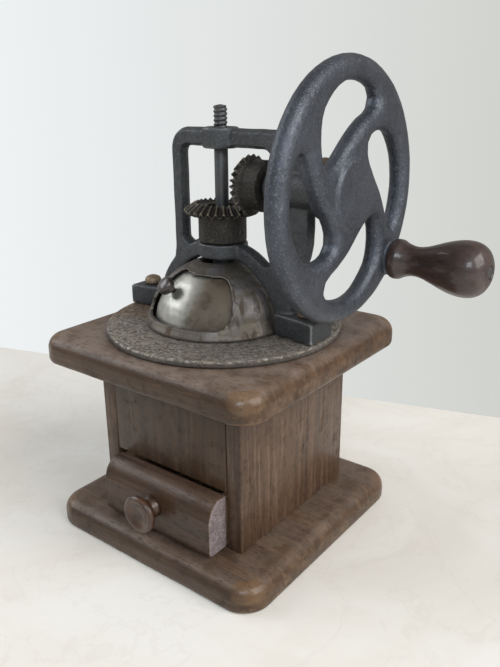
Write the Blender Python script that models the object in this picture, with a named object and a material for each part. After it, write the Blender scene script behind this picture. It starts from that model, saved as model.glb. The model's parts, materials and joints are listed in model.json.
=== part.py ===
"""Hand crank coffee grinder: a wooden box with a drawer, a round iron plate with a domed hopper, and an iron bridge that carries a vertical spindle, two bevel gears and a side wheel with a turned handle.

Millimetres below, metres in the scene. +Z is up, the drawer faces -Y and the wheel is on the +X side. The origin is the middle of the base board's underside."""

import math

import bmesh
import bpy
import numpy as np
from mathutils import Vector
from mathutils.geometry import tessellate_polygon

MM = 0.001
GAP = 0.3

# Wooden case
BOARD = 127.0  # side of the base and top boards
BOARD_T = 12.7
BOARD_R = 13.0  # plan radius of the boards' corners
BOX = 85.7  # outside width of the box
BOX_H = 76.2
SIDE_T = 8.0  # thickness of the box's walls
DRAWER_TOP = 41.0
DRAWER_FRONT_T = 12.7
DRAWER_W = 66.6
DRAWER_DX = 1.5  # the drawer's front sits this far right of the middle
KNOB_R = 9.2
KNOB_X = 1.3
KNOB_Z = 28.2

# Iron plate and hopper
PLATE_R = 56.5
PLATE_T = 3.0
DOME_R = 32.5
DOME_H = 31.0  # height of the dome's curve above its centre
DOME_X, DOME_Y = -1.98, -1.52  # the dome sits a little off the spindle
NECK_R = 8.4  # collar that the door's ring turns on
DOME_T = 1.3
DOOR_HALF = 61.0  # half of the angle that the door covers, degrees

# Bridge
BRIDGE_T = 7.0  # thickness of the bridge, front to back
ARCH_IN = 32.0
ARCH_OUT = 41.0
POST_L0, POST_L1 = -28.4, -21.2
POST_R0, POST_R1 = 29.6, 50.0
BAR_BOTTOM, BAR_TOP = 185.7, 194.3
FOOT_END = 55.3
FOOT_H = 10.4
SLEEVE_R = 11.7
SLEEVE_TOP = 143.3
BARREL_R = 8.0
BOSS_R = 8.35

# Spindle, gears and crank
ROD_R = 3.175
ROD_TOP = 204.0
SHAFT_Z = 170.3
SHAFT_R = 4.0
CROWN_TEETH = 30
PINION_TEETH = 22
CROWN_PITCH_R = 17.5

# Wheel and handle
WHEEL_X = 64.5
WHEEL_R = 48.0  # to the middle of the rim
RIM_A = 4.85  # half of the rim's width
RIM_H = 4.3  # half of the rim's thickness
HANDLE_ANGLE = -42.5
HANDLE_LEN = 44.0
HANDLE_R = 12.2

BASE_TOP = BOARD_T
BOX_Z0 = BOARD_T + GAP
BOX_Z1 = BOARD_T + BOX_H - GAP
TOP_Z0 = BOARD_T + BOX_H
TOP_Z1 = TOP_Z0 + BOARD_T
PLATE_Z0 = TOP_Z1 + GAP
PLATE_Z1 = PLATE_Z0 + PLATE_T
DOME_Z = PLATE_Z1 - GAP
FOOT_Z0 = PLATE_Z1 + GAP
FOOT_Z1 = FOOT_Z0 + FOOT_H - GAP
HALF = BOX / 2

for old in list(bpy.data.objects):
    bpy.data.objects.remove(old, do_unlink=True)

scene = bpy.context.scene
helpers = bpy.data.collections.new("helpers")
scene.collection.children.link(helpers)
helpers.hide_render = True


def material(name, colour, metallic=0.0, rough=0.5):
    mat = bpy.data.materials.new(name)
    mat.use_nodes = True
    bsdf = mat.node_tree.nodes["Principled BSDF"]
    bsdf.inputs["Base Color"].default_value = (*colour, 1)
    bsdf.inputs["Metallic"].default_value = metallic
    bsdf.inputs["Roughness"].default_value = rough
    mat.diffuse_color = (*colour, 1)
    return mat


WALNUT = material("walnut", (0.11, 0.065, 0.04), 0, 0.45)
INSIDE = material("plain_wood", (0.30, 0.20, 0.12), 0, 0.7)
KNOBWOOD = material("knob_wood", (0.20, 0.085, 0.035), 0, 0.4)
HANDLEWOOD = material("handle_wood", (0.09, 0.035, 0.022), 0, 0.25)
IRON = material("cast_iron", (0.060, 0.068, 0.080), 0.8, 0.5)
DOMEMETAL = material("dome_metal", (0.32, 0.30, 0.26), 0.7, 0.45)
STEEL = material("steel", (0.16, 0.15, 0.14), 0.9, 0.4)
BRASS = material("brass", (0.45, 0.32, 0.17), 0.7, 0.45)


def place(name, bm, mat, origin=(0, 0, 0)):
    """A mesh object of bm's millimetre shape, with its origin at this point in millimetres."""
    bmesh.ops.remove_doubles(bm, verts=bm.verts[:], dist=1e-5)
    bmesh.ops.recalc_face_normals(bm, faces=bm.faces[:])
    mesh = bpy.data.meshes.new(name)
    o = Vector(origin)
    for v in bm.verts:
        v.co = (v.co - o) * MM
    if bm.calc_volume() < 0:
        bmesh.ops.reverse_faces(bm, faces=bm.faces[:])
    bm.to_mesh(mesh)
    bm.free()
    mesh.materials.append(mat)
    obj = bpy.data.objects.new(name, mesh)
    obj.location = o * MM
    scene.collection.objects.link(obj)
    return obj


def turn(point, axis):
    """A point modelled round +Z, laid along another axis."""
    x, y, z = point
    if axis == "X":
        return (z, x, y)
    if axis == "-Y":
        return (x, -z, y)
    return (x, y, z)


def rings(bm, loops, first=None, last=None):
    """Skins a list of point loops of equal length. first and last are the points that close the ends as fans, or None for a ring that meets itself."""
    made = [[bm.verts.new(p) for p in loop] for loop in loops]
    pairs = list(zip(made, made[1:]))
    if first is None and last is None:
        pairs.append((made[-1], made[0]))
    for a, b in pairs:
        n = len(a)
        for i in range(n):
            bm.faces.new((a[i], a[(i + 1) % n], b[(i + 1) % n], b[i]))
    for tip, loop in ((first, made[0]), (last, made[-1])):
        if tip is None:
            continue
        v = bm.verts.new(tip)
        for i in range(len(loop)):
            bm.faces.new((loop[i], loop[(i + 1) % len(loop)], v))
    return made


def lathe_bm(profile, seg=32, axis="Z", centre=(0, 0, 0), phase=0.0):
    """Turns (radius, height) pairs. A profile that starts and ends on the axis is solid, and any other is a closed ring section."""
    bm = bmesh.new()
    c = Vector(centre)
    solid = profile[0][0] == 0 and profile[-1][0] == 0
    rows = profile[1:-1] if solid else profile
    loops = []
    for r, z in rows:
        loops.append(
            [
                c + Vector(turn((r * math.cos(t), r * math.sin(t), z), axis))
                for t in (2 * math.pi * i / seg + phase for i in range(seg))
            ]
        )
    if solid:
        rings(
            bm,
            loops,
            c + Vector(turn((0, 0, profile[0][1]), axis)),
            c + Vector(turn((0, 0, profile[-1][1]), axis)),
        )
    else:
        rings(bm, loops)
    bmesh.ops.recalc_face_normals(bm, faces=bm.faces[:])
    return bm


def rod_bm(r, z0, z1, seg=32, axis="Z", centre=(0, 0, 0), c=0.0):
    """A cylinder with chamfers of c."""
    if c:
        prof = [(0, z0), (r - c, z0), (r, z0 + c), (r, z1 - c), (r - c, z1), (0, z1)]
    else:
        prof = [(0, z0), (r, z0), (r, z1), (0, z1)]
    return lathe_bm(prof, seg, axis, centre, 0.113)


def box_bm(x0, x1, y0, y1, z0, z1):
    bm = bmesh.new()
    bmesh.ops.create_cube(bm, size=1.0)
    for v in bm.verts:
        v.co = (
            x0 + (v.co.x + 0.5) * (x1 - x0),
            y0 + (v.co.y + 0.5) * (y1 - y0),
            z0 + (v.co.z + 0.5) * (z1 - z0),
        )
    return bm


def eased_box(x0, x1, y0, y1, z0, z1, c=0.5):
    """A box with its edges broken by c."""
    bm = box_bm(x0, x1, y0, y1, z0, z1)
    bmesh.ops.bevel(
        bm, geom=bm.edges[:], offset=c, segments=1, affect="EDGES", profile=0.5
    )
    return bm


def offset(points, d):
    """The closed 2-D outline moved by d towards its left."""
    p = np.asarray(points, float)
    back, fwd = p - np.roll(p, 1, 0), np.roll(p, -1, 0) - p
    n0 = np.stack([-back[:, 1], back[:, 0]], 1) / np.linalg.norm(back, axis=1)[:, None]
    n1 = np.stack([-fwd[:, 1], fwd[:, 0]], 1) / np.linalg.norm(fwd, axis=1)[:, None]
    m = n0 + n1
    m /= np.maximum((m * n0).sum(1), 0.35)[:, None]
    return p + m * d


def plate_bm(outer, holes, half, round_over, steps, put):
    """A flat plate of this half thickness with rounded edges. outer runs anticlockwise, each hole clockwise, so that solid is on the left. put turns (u, v, w) into a point."""
    bm = bmesh.new()
    loops = [outer, *holes]
    sections = []
    for k in range(-steps, steps + 1):
        a = math.pi / 2 * k / steps
        sections.append((round_over * (1 - math.cos(a)), half * math.sin(a)))
    if round_over == 0:
        sections = [(0, -half), (0, half)]
    caps = [[], []]
    for loop in loops:
        made = []
        for d, w in sections:
            q = offset(loop, d) if d else np.asarray(loop, float)
            made.append([bm.verts.new(put(u, v, w)) for u, v in q])
        for a, b in zip(made, made[1:]):
            for i in range(len(a)):
                j = (i + 1) % len(a)
                bm.faces.new((a[i], a[j], b[j], b[i]))
        for side, (row, d) in enumerate(
            ((made[0], sections[0][0]), (made[-1], sections[-1][0]))
        ):
            q = offset(loop, d) if d else np.asarray(loop, float)
            caps[side].append((row, q))
    for side in caps:
        verts = [v for row, _ in side for v in row]
        for tri in tessellate_polygon(
            [[Vector((*p, 0)) for p in q] for _, q in side]
        ):
            bm.faces.new([verts[i] for i in tri])
    bmesh.ops.recalc_face_normals(bm, faces=bm.faces[:])
    return bm


def rounded_rect(hx, hy, r, n=6):
    pts = []
    for cx, cy, a0 in (
        (hx - r, hy - r, 0),
        (r - hx, hy - r, 90),
        (r - hx, r - hy, 180),
        (hx - r, r - hy, 270),
    ):
        for i in range(n + 1):
            a = math.radians(a0 + 90 * i / n)
            pts.append((cx + r * math.cos(a), cy + r * math.sin(a)))
    return pts


def arc(cx, cy, r, a0, a1, n):
    return [
        (
            cx + r * math.cos(math.radians(a0 + (a1 - a0) * i / n)),
            cy + r * math.sin(math.radians(a0 + (a1 - a0) * i / n)),
        )
        for i in range(n + 1)
    ]


def solid_of(bm, name="tool"):
    """A helper object for a Boolean, kept out of the scene's nodes."""
    mesh = bpy.data.meshes.new(name)
    bmesh.ops.remove_doubles(bm, verts=bm.verts[:], dist=1e-5)
    bmesh.ops.triangulate(bm, faces=bm.faces[:])
    bmesh.ops.recalc_face_normals(bm, faces=bm.faces[:])
    if bm.calc_volume() < 0:
        bmesh.ops.reverse_faces(bm, faces=bm.faces[:])
    bm.to_mesh(mesh)
    bm.free()
    obj = bpy.data.objects.new(name, mesh)
    obj.hide_render = True
    obj.display_type = "WIRE"
    helpers.objects.link(obj)
    return obj


def combine(bm, steps):
    """Applies (operation, bm) steps to bm and gives back the result."""
    base = solid_of(bm, "base")
    for op, other in steps:
        tool = solid_of(other)
        mod = base.modifiers.new(op, "BOOLEAN")
        mod.operation = op
        mod.solver = "EXACT"
        mod.object = tool
        bpy.context.view_layer.update()
        graph = bpy.context.evaluated_depsgraph_get()
        mesh = bpy.data.meshes.new_from_object(base.evaluated_get(graph))
        base.modifiers.clear()
        base.data = mesh
        bpy.data.objects.remove(tool, do_unlink=True)
    out = bmesh.new()
    out.from_mesh(base.data)
    bpy.data.objects.remove(base, do_unlink=True)
    bmesh.ops.triangulate(
        out,
        faces=[f for f in out.faces if len(f.verts) > 4],
        ngon_method="EAR_CLIP",
    )
    return out


# --- Boards -----------------------------------------------------------------


def board(z0, hole):
    """A square board with rounded corners, a rounded top edge and an eased bottom edge."""
    section = [
        (1.6, 0.0),
        (0.4, 0.5),
        (0.0, 1.6),
        (0.0, 6.6),
        (0.35, 8.5),
        (1.2, 10.3),
        (2.6, 11.7),
        (4.3, 12.45),
        (5.4, BOARD_T),
    ]
    bm = bmesh.new()
    loops = []
    for inset, z in section:
        loops.append(
            [
                (x, y, z0 + z)
                for x, y in rounded_rect(
                    BOARD / 2 - inset, BOARD / 2 - inset, BOARD_R - inset, 6
                )
            ]
        )
    made = [[bm.verts.new(p) for p in loop] for loop in loops]
    for a, b in zip(made, made[1:]):
        for i in range(len(a)):
            j = (i + 1) % len(a)
            bm.faces.new((a[i], a[j], b[j], b[i]))
    bm.faces.new(made[0])
    bm.faces.new(made[-1])
    if not hole:
        return bm
    return combine(bm, hole)


NAIL_AT = [(-HALF + SIDE_T / 2, -26.0), (-HALF + SIDE_T / 2, 26.0)]
NAIL_AT += [(-x, y) for x, y in NAIL_AT]
NAIL_R = 1.1
NAIL_HOLE = NAIL_R + 0.25

base_cuts = []
for x, y in NAIL_AT:
    base_cuts.append(
        ("DIFFERENCE", rod_bm(NAIL_HOLE, -1, BOARD_T + 1, 12, centre=(x, y, 0)))
    )
    base_cuts.append(("DIFFERENCE", rod_bm(3.6, -1, 2.4, 16, centre=(x, y, 0))))
place("base_board", board(0, base_cuts), WALNUT)

SCREW_X = 47.6
top_cuts = [("DIFFERENCE", rod_bm(26.0, TOP_Z0 - 1, TOP_Z1 + 1, 40))]
for x, y in NAIL_AT:
    top_cuts.append(
        (
            "DIFFERENCE",
            rod_bm(NAIL_HOLE, TOP_Z0 - 1, TOP_Z1 + 1, 12, centre=(x, y * 1.35, 0)),
        )
    )
for x in (-SCREW_X, SCREW_X):
    top_cuts.append(
        ("DIFFERENCE", rod_bm(2.3, TOP_Z1 - 10.5, TOP_Z1 + 1, 16, centre=(x, 0, 0)))
    )
place("top_board", board(TOP_Z0, top_cuts), WALNUT)


# --- Box --------------------------------------------------------------------


def panel(name, x0, x1, y0, y1, z0, z1, cuts=(), mat=WALNUT, c=0.5):
    bm = eased_box(x0, x1, y0, y1, z0, z1, c)
    if cuts:
        bm = combine(bm, [("DIFFERENCE", cut) for cut in cuts])
    place(name, bm, mat)


def side_cuts(x):
    cuts = []
    for nx, ny in NAIL_AT:
        if nx * x > 0:
            cuts.append(rod_bm(NAIL_HOLE, BOX_Z0 - 1, BOX_Z0 + 9.5, 12, centre=(nx, ny, 0)))
            cuts.append(
                rod_bm(NAIL_HOLE, BOX_Z1 - 9.5, BOX_Z1 + 1, 12, centre=(nx, ny * 1.35, 0))
            )
    return cuts


panel("box_left_side", -HALF, SIDE_T - HALF, -HALF, HALF, BOX_Z0, BOX_Z1, side_cuts(-1))
panel("box_right_side", HALF - SIDE_T, HALF, -HALF, HALF, BOX_Z0, BOX_Z1, side_cuts(1))
INNER = HALF - SIDE_T - GAP
panel("box_front_panel", -INNER, INNER, -HALF, SIDE_T - HALF, DRAWER_TOP + 0.8, BOX_Z1)
panel("box_back_panel", -INNER, INNER, HALF - SIDE_T, HALF, BOX_Z0, BOX_Z1)

n = 0
for x, y in NAIL_AT:
    n += 1
    place(
        f"base_screw_{n}",
        lathe_bm(
            [(0, 0.5), (3.1, 0.5), (3.1, 0.9), (NAIL_R, 2.2), (NAIL_R, 20.0), (0, 21.4)],
            12,
            centre=(x, y, 0),
        ),
        STEEL,
    )
    place(
        f"top_nail_{n}",
        lathe_bm(
            [
                (0, TOP_Z0 - 8.8),
                (NAIL_R, TOP_Z0 - 7.6),
                (NAIL_R, TOP_Z1 - 0.4),
                (0, TOP_Z1 - 0.4),
            ],
            12,
            centre=(x, y * 1.35, 0),
        ),
        STEEL,
    )

# --- Drawer -----------------------------------------------------------------

DW = DRAWER_W / 2
DZ0 = BOX_Z0 + 0.3
DY0 = -HALF - DRAWER_FRONT_T  # front face of the drawer
DY1 = -HALF - GAP  # back of the drawer's front
DBACK = 34.0
DF0 = DZ0 + 0.9  # underside of the drawer's front
front = [(DY1, DF0 + 0.4), (DY1 - 0.4, DF0), (DY0 + 2.4, DF0)]
front += arc(DY0 + 2.4, DF0 + 2.4, 2.4, 270, 180, 4)[1:]
front += [(DY0, DRAWER_TOP - 8.2)]
front += arc(DY1 - 2.2, DRAWER_TOP - 8.2 - 1.0, 9.9, 174, 106, 7)
front += [(DY1 - 3.0, DRAWER_TOP), (DY1, DRAWER_TOP)]
bm = bmesh.new()
ends = [[bm.verts.new((x, y, z)) for y, z in front] for x in (DRAWER_DX - DW, DRAWER_DX + DW)]
for i in range(len(front)):
    j = (i + 1) % len(front)
    bm.faces.new((ends[0][i], ends[0][j], ends[1][j], ends[1][i]))
bm.faces.new(ends[0])
bm.faces.new(ends[1])
place(
    "drawer_front",
    combine(
        bm,
        [
            (
                "DIFFERENCE",
                lathe_bm(
                    [(0, -DY1 - 1), (1.9, -DY1 - 1), (1.9, -DY0 + 1), (0, -DY0 + 1)],
                    16,
                    "-Y",
                    (KNOB_X, 0, KNOB_Z),
                ),
            )
        ],
    ),
    WALNUT,
)
SW = 33.9  # half of the drawer body's width
ST = 5.0
DB = DZ0 + 4.5  # top of the drawer's bottom board
DTOP = DRAWER_TOP - 3.0
DYF = DY1 + GAP
panel("drawer_left_side", -SW, ST - SW, DYF, DBACK, DZ0, DTOP, mat=INSIDE)
panel("drawer_right_side", SW - ST, SW, DYF, DBACK, DZ0, DTOP, mat=INSIDE)
panel(
    "drawer_back",
    ST - SW + GAP,
    SW - ST - GAP,
    DBACK - 5.0,
    DBACK,
    DZ0,
    DTOP,
    mat=INSIDE,
)
panel(
    "drawer_bottom",
    ST - SW + GAP,
    SW - ST - GAP,
    DYF,
    DBACK - 5.0 - GAP,
    DZ0,
    DB,
    mat=INSIDE,
)
# Dished mushroom knob, turned round an axis along -Y.
k0 = -DY0 + GAP
KF = k0 + 9.6
place(
    "drawer_knob",
    lathe_bm(
        [
            (1.75, k0),
            (5.6, k0),
            (5.2, k0 + 1.4),
            (4.6, k0 + 2.8),
            (5.2, k0 + 4.2),
            (7.4, k0 + 5.4),
            (KNOB_R - 0.4, k0 + 6.6),
            (KNOB_R, k0 + 7.8),
            (KNOB_R - 0.5, k0 + 8.9),
            (KNOB_R - 1.6, KF),
            (KNOB_R - 3.2, KF - 0.4),
            (KNOB_R - 5.2, KF - 1.3),
            (1.75, KF - 1.8),
        ],
        24,
        "-Y",
        (KNOB_X, 0, KNOB_Z),
    ),
    KNOBWOOD,
)
place(
    "drawer_knob_screw",
    lathe_bm(
        [
            (0, -DY1 - 1.9),
            (3.3, -DY1 - 1.9),
            (3.3, -DY1 - 0.35),
            (1.45, -DY1 - 0.35),
            (1.45, KF - 3.0),
            (0, KF - 2.6),
        ],
        16,
        "-Y",
        (KNOB_X, 0, KNOB_Z),
    ),
    STEEL,
)

# --- Plate, dome and door ---------------------------------------------------

bm = lathe_bm(
    [
        (20.0, PLATE_Z0),
        (PLATE_R - 0.6, PLATE_Z0),
        (PLATE_R, PLATE_Z0 + 0.6),
        (PLATE_R, PLATE_Z1 - 0.7),
        (PLATE_R - 0.8, PLATE_Z1),
        (20.0, PLATE_Z1),
    ],
    60,
)
cuts = []
for x in (-SCREW_X, SCREW_X):
    cuts.append(
        ("DIFFERENCE", rod_bm(2.6, PLATE_Z0 - 1, PLATE_Z1 + 1, 16, centre=(x, 0, 0)))
    )
BURR_SCREW_Y = 22.6
for y in (-BURR_SCREW_Y, BURR_SCREW_Y):
    cuts.append(
        ("DIFFERENCE", rod_bm(1.8, PLATE_Z0 - 1, PLATE_Z0 + 2.3, 12, centre=(0, y, 0)))
    )
place("flange_plate", combine(bm, cuts), DOMEMETAL)


def dome_section(offset_in, top=75.0):
    """(radius, height) pairs of the hopper's outside, from the plate up, moved inwards."""
    pts = []
    for i in range(9):
        a = math.radians(12 + (top - 12) * i / 8)
        pts.append(
            ((DOME_R - offset_in) * math.cos(a), DOME_Z + (DOME_H - offset_in) * math.sin(a))
        )
    return pts


DOME_FOOT = 35.2
DOME_BASE = PLATE_Z1 + GAP
DOME_AT = (DOME_X, DOME_Y, 0)
outer = [
    (DOME_FOOT, DOME_BASE),
    (DOME_FOOT - 0.1, DOME_BASE + 1.2),
    (DOME_FOOT - 1.3, DOME_BASE + 3.0),
] + dome_section(0)
inner = [(DOME_FOOT - 3.4, DOME_BASE), (DOME_R - DOME_T - 0.1, DOME_BASE + 4.0)]
inner += dome_section(DOME_T, 72.5)[1:]
neck = [(NECK_R - 0.6, 134.3), (NECK_R - 0.6, 131.2), (NECK_R, 131.2), (NECK_R, 132.9)]
bm = lathe_bm(outer + neck + inner[::-1], 48, centre=DOME_AT)


def wedge_bm(outline, r0, r1):
    """A prism that radiates from the dome's axis. outline is (azimuth from the front in degrees, height)."""
    bm = bmesh.new()
    rows = []
    for r in (r0, r1):
        rows.append(
            [
                bm.verts.new(
                    (
                        DOME_X + r * math.sin(math.radians(a)),
                        DOME_Y - r * math.cos(math.radians(a)),
                        z,
                    )
                )
                for a, z in outline
            ]
        )
    n = len(outline)
    for i in range(n):
        j = (i + 1) % n
        bm.faces.new((rows[0][i], rows[0][j], rows[1][j], rows[1][i]))
    tris = tessellate_polygon([[Vector((a, z * 3, 0)) for a, z in outline]])
    for row in rows:
        for tri in tris:
            bm.faces.new([row[i] for i in tri])
    bmesh.ops.recalc_face_normals(bm, faces=bm.faces[:])
    return bm


outline = [
    (0, 109.7),
    (13, 109.6),
    (26, 109.6),
    (36, 109.8),
    (44, 110.6),
    (49, 112.6),
    (51.5, 115.5),
    (53, 120.0),
    (53.8, 124.5),
    (53, 127.5),
    (49.5, 129.3),
    (43, 130.0),
    (30, 130.2),
    (15, 130.4),
    (0, 130.5),
    (-10, 130.8),
    (-20, 131.2),
    (-28, 131.3),
    (-34, 130.4),
    (-40, 128.2),
    (-45, 124.5),
    (-49, 119.5),
    (-52, 115.0),
    (-52, 112.3),
    (-48, 110.6),
    (-40, 109.9),
    (-26, 109.6),
    (-13, 109.6),
]
dense = []
for (a0, h0), (a1, h1) in zip(outline, outline[1:] + outline[:1]):
    k = max(1, round(abs(a1 - a0) / 5))
    dense += [(a0 + (a1 - a0) * i / k, h0 + (h1 - h0) * i / k) for i in range(k)]


def smooth_step(a, b, v):
    t = min(1.0, max(0.0, (v - a) / (b - a)))
    return t * t * (3 - 2 * t)


def lip_flare(az, z):
    """How far the dome stands out beside the left edge of the opening, where its lip is turned out."""
    across = smooth_step(-82, -60, az) * smooth_step(-10, -44, az)
    return 0.8 * across * (1 - 0.55 * smooth_step(113, 125, z)) * smooth_step(133, 126, z)


dome = combine(bm, [("DIFFERENCE", wedge_bm(dense, 9.6, 75))])
for v in dome.verts:
    x, y = v.co.x - DOME_X, v.co.y - DOME_Y
    az = math.degrees(math.atan2(x, -y))
    out = lip_flare(az, v.co.z) * smooth_step(DOME_BASE + 0.5, DOME_BASE + 4.0, v.co.z)
    v.co.x += x * out / math.hypot(x, y)
    v.co.y += y * out / math.hypot(x, y)
place("hopper_dome", dome, DOMEMETAL)

DOOR_OUT = DOME_R - DOME_T - 0.6
DOOR_H = DOME_H - DOME_T - 0.6
DOOR_T = 1.1
DOOR_Z0 = DOME_BASE


def door_point(inwards, a, lift):
    """A point of the door: polar angle lift above the plate, azimuth a from the front."""
    z = DOME_Z + (DOOR_H - inwards) * math.sin(lift)
    h = (DOOR_OUT - inwards) * math.cos(lift)
    return (DOME_X + h * math.sin(a), DOME_Y - h * math.cos(a), max(z, DOOR_Z0))


bm = bmesh.new()
lifts = [math.radians(v) for v in (2, 9, 17, 25, 33, 41, 49, 57, 65, 72.8)]
spans = [DOOR_HALF] * 6 + [DOOR_HALF - 4, DOOR_HALF - 4, DOOR_HALF, DOOR_HALF]
nA = 18
grid = []
for inwards in (0, DOOR_T):
    grid.append(
        [
            [
                bm.verts.new(door_point(inwards, math.radians(s * (2 * i / nA - 1)), l))
                for i in range(nA + 1)
            ]
            for l, s in zip(lifts, spans)
        ]
    )
for g in grid:
    for a, b in zip(g, g[1:]):
        for i in range(nA):
            bm.faces.new((a[i], a[i + 1], b[i + 1], b[i]))
for k in (0, -1):
    for i in range(nA):
        bm.faces.new(
            (grid[0][k][i], grid[0][k][i + 1], grid[1][k][i + 1], grid[1][k][i])
        )
for i in (0, nA):
    for a, b, c, d in zip(grid[0], grid[0][1:], grid[1], grid[1][1:]):
        bm.faces.new((a[i], b[i], d[i], c[i]))
bmesh.ops.recalc_face_normals(bm, faces=bm.faces[:])
# The ring at the top that turns on the dome's collar.
RING_R = NECK_R + 0.08
steps = [
    (
        "UNION",
        lathe_bm(
            [(RING_R, 131.1), (11.5, 130.1), (11.5, 131.3), (RING_R, 132.3)],
            48,
            centre=DOME_AT,
        ),
    )
]
KNOB_AZ = math.radians(-21)
KNOB_LIFT = math.radians(37.5)
DOOR_K = 30.1  # the door's outside where the knob is
kdir = Vector(
    (
        math.sin(KNOB_AZ) * math.cos(KNOB_LIFT),
        -math.cos(KNOB_AZ) * math.cos(KNOB_LIFT),
        math.sin(KNOB_LIFT),
    )
)
kmat = Vector((0, 0, 1)).rotation_difference(kdir).to_matrix()


def along_knob(bm):
    for v in bm.verts:
        v.co = kmat @ v.co + Vector((DOME_X, DOME_Y, DOME_Z))
    return bm


steps.append(("DIFFERENCE", along_knob(rod_bm(1.15, DOOR_K - 4, DOOR_K + 4, 12))))
place("hopper_door", combine(bm, steps), DOMEMETAL)
place(
    "door_knob",
    along_knob(
        lathe_bm(
            [
                (0, DOOR_K - DOOR_T - 1.4),
                (1.9, DOOR_K - DOOR_T - 1.2),
                (1.9, DOOR_K - DOOR_T - 0.5),
                (0.85, DOOR_K - DOOR_T - 0.45),
                (0.85, DOOR_K + 0.55),
                (1.9, DOOR_K + 0.65),
                (1.7, DOOR_K + 1.6),
                (3.6, DOOR_K + 2.4),
                (4.2, DOOR_K + 3.6),
                (4.3, DOOR_K + 5.2),
                (3.8, DOOR_K + 6.4),
                (2.2, DOOR_K + 7.0),
                (0, DOOR_K + 7.1),
            ],
            20,
        )
    ),
    STEEL,
)

# --- Bridge -----------------------------------------------------------------


def on_arch(x, r):
    return DOME_Z + math.sqrt(r * r - x * x)


ZA = DOME_Z
outer = []
outer += [(-FOOT_END + 13.0, FOOT_Z0 + 0.6), (-ARCH_IN - 2.6, FOOT_Z0 + 0.6)]
outer += [(-ARCH_IN, ZA + 5.0)]
outer += arc(0, ZA, ARCH_IN, 168, 12, 26)
outer += [(ARCH_IN, ZA + 5.0), (ARCH_IN + 2.6, FOOT_Z0 + 0.6)]
outer += [(FOOT_END - 6.0, FOOT_Z0 + 0.6), (FOOT_END - 6.0, FOOT_Z1 - 1.0)]
outer += [(41.3, FOOT_Z1 - 1.0), (41.3, 119.0), (42.0, 124.0), (44.0, 130.0)]
outer += [(46.6, 135.5), (48.6, 141.0), (49.8, 147.0), (POST_R1, 153.0)]
outer += arc(POST_R1 - 8.5, BAR_TOP - 8.5, 8.5, 0, 90, 6)
outer += arc(POST_L0 + 9.5, BAR_TOP - 9.5, 9.5, 90, 180, 7)
outer += [(POST_L0, 138.5)]
a1 = math.degrees(math.acos((POST_L0 - 0.9) / ARCH_OUT))
outer += arc(0, ZA, ARCH_OUT, a1, 163, 6)
outer += [(-FOOT_END + 13.0, FOOT_Z1 - 1.0)]
# The window between the posts, above the arch.
wl, wr = POST_L1, POST_R0
window = arc(wl + 3.6, BAR_BOTTOM - 3.6, 3.6, 180, 90, 4)
window += arc(wr - 6.0, BAR_BOTTOM - 6.0, 6.0, 90, 0, 5)
window += [(wr, on_arch(wr, ARCH_OUT) + 7.0), (wr - 1.2, on_arch(wr, ARCH_OUT) + 3.8)]
a2 = math.degrees(math.acos((wr - 3.6) / ARCH_OUT))
a3 = math.degrees(math.acos((wl + 3.0) / ARCH_OUT))
window += arc(0, ZA, ARCH_OUT, a2, a3, 12)
window += [(wl, on_arch(wl, ARCH_OUT) + 3.6)]


def clean(points):
    out = []
    for p in points:
        if not out or math.dist(p, out[-1]) > 0.05:
            out.append(p)
    if math.dist(out[0], out[-1]) < 0.05:
        out.pop()
    return out


def turned(points, clockwise):
    q = np.asarray(points)
    area = (q[:, 0] * np.roll(q[:, 1], -1) - q[:, 1] * np.roll(q[:, 0], -1)).sum()
    return points[::-1] if (area > 0) == clockwise else points


frame = plate_bm(
    turned(clean(outer), False),
    [turned(clean(window), True)],
    BRIDGE_T / 2,
    1.5,
    1,
    lambda u, v, w: (u, w, v),
)


def foot_bm(side):
    """A foot block that widens towards its outer end."""
    x0, x1 = 33.0, FOOT_END
    bm = bmesh.new()
    rows = []
    for z, e in (
        (FOOT_Z0, 0.0),
        (FOOT_Z1 - 0.8, 0.0),
        (FOOT_Z1, 0.8),
    ):
        rows.append(
            [
                bm.verts.new(p)
                for p in (
                    (side * (x0 + e), -5.2 + e * 0.6, z),
                    (side * (x1 - e), -8.8 + e, z),
                    (side * (x1 - e), 8.8 - e, z),
                    (side * (x0 + e), 5.2 - e * 0.6, z),
                )
            ]
        )
    for a, b in zip(rows, rows[1:]):
        for i in range(4):
            j = (i + 1) % 4
            bm.faces.new((a[i], a[j], b[j], b[i]))
    bm.faces.new(rows[0])
    bm.faces.new(rows[-1])
    bmesh.ops.recalc_face_normals(bm, faces=bm.faces[:])
    return bm


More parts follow.
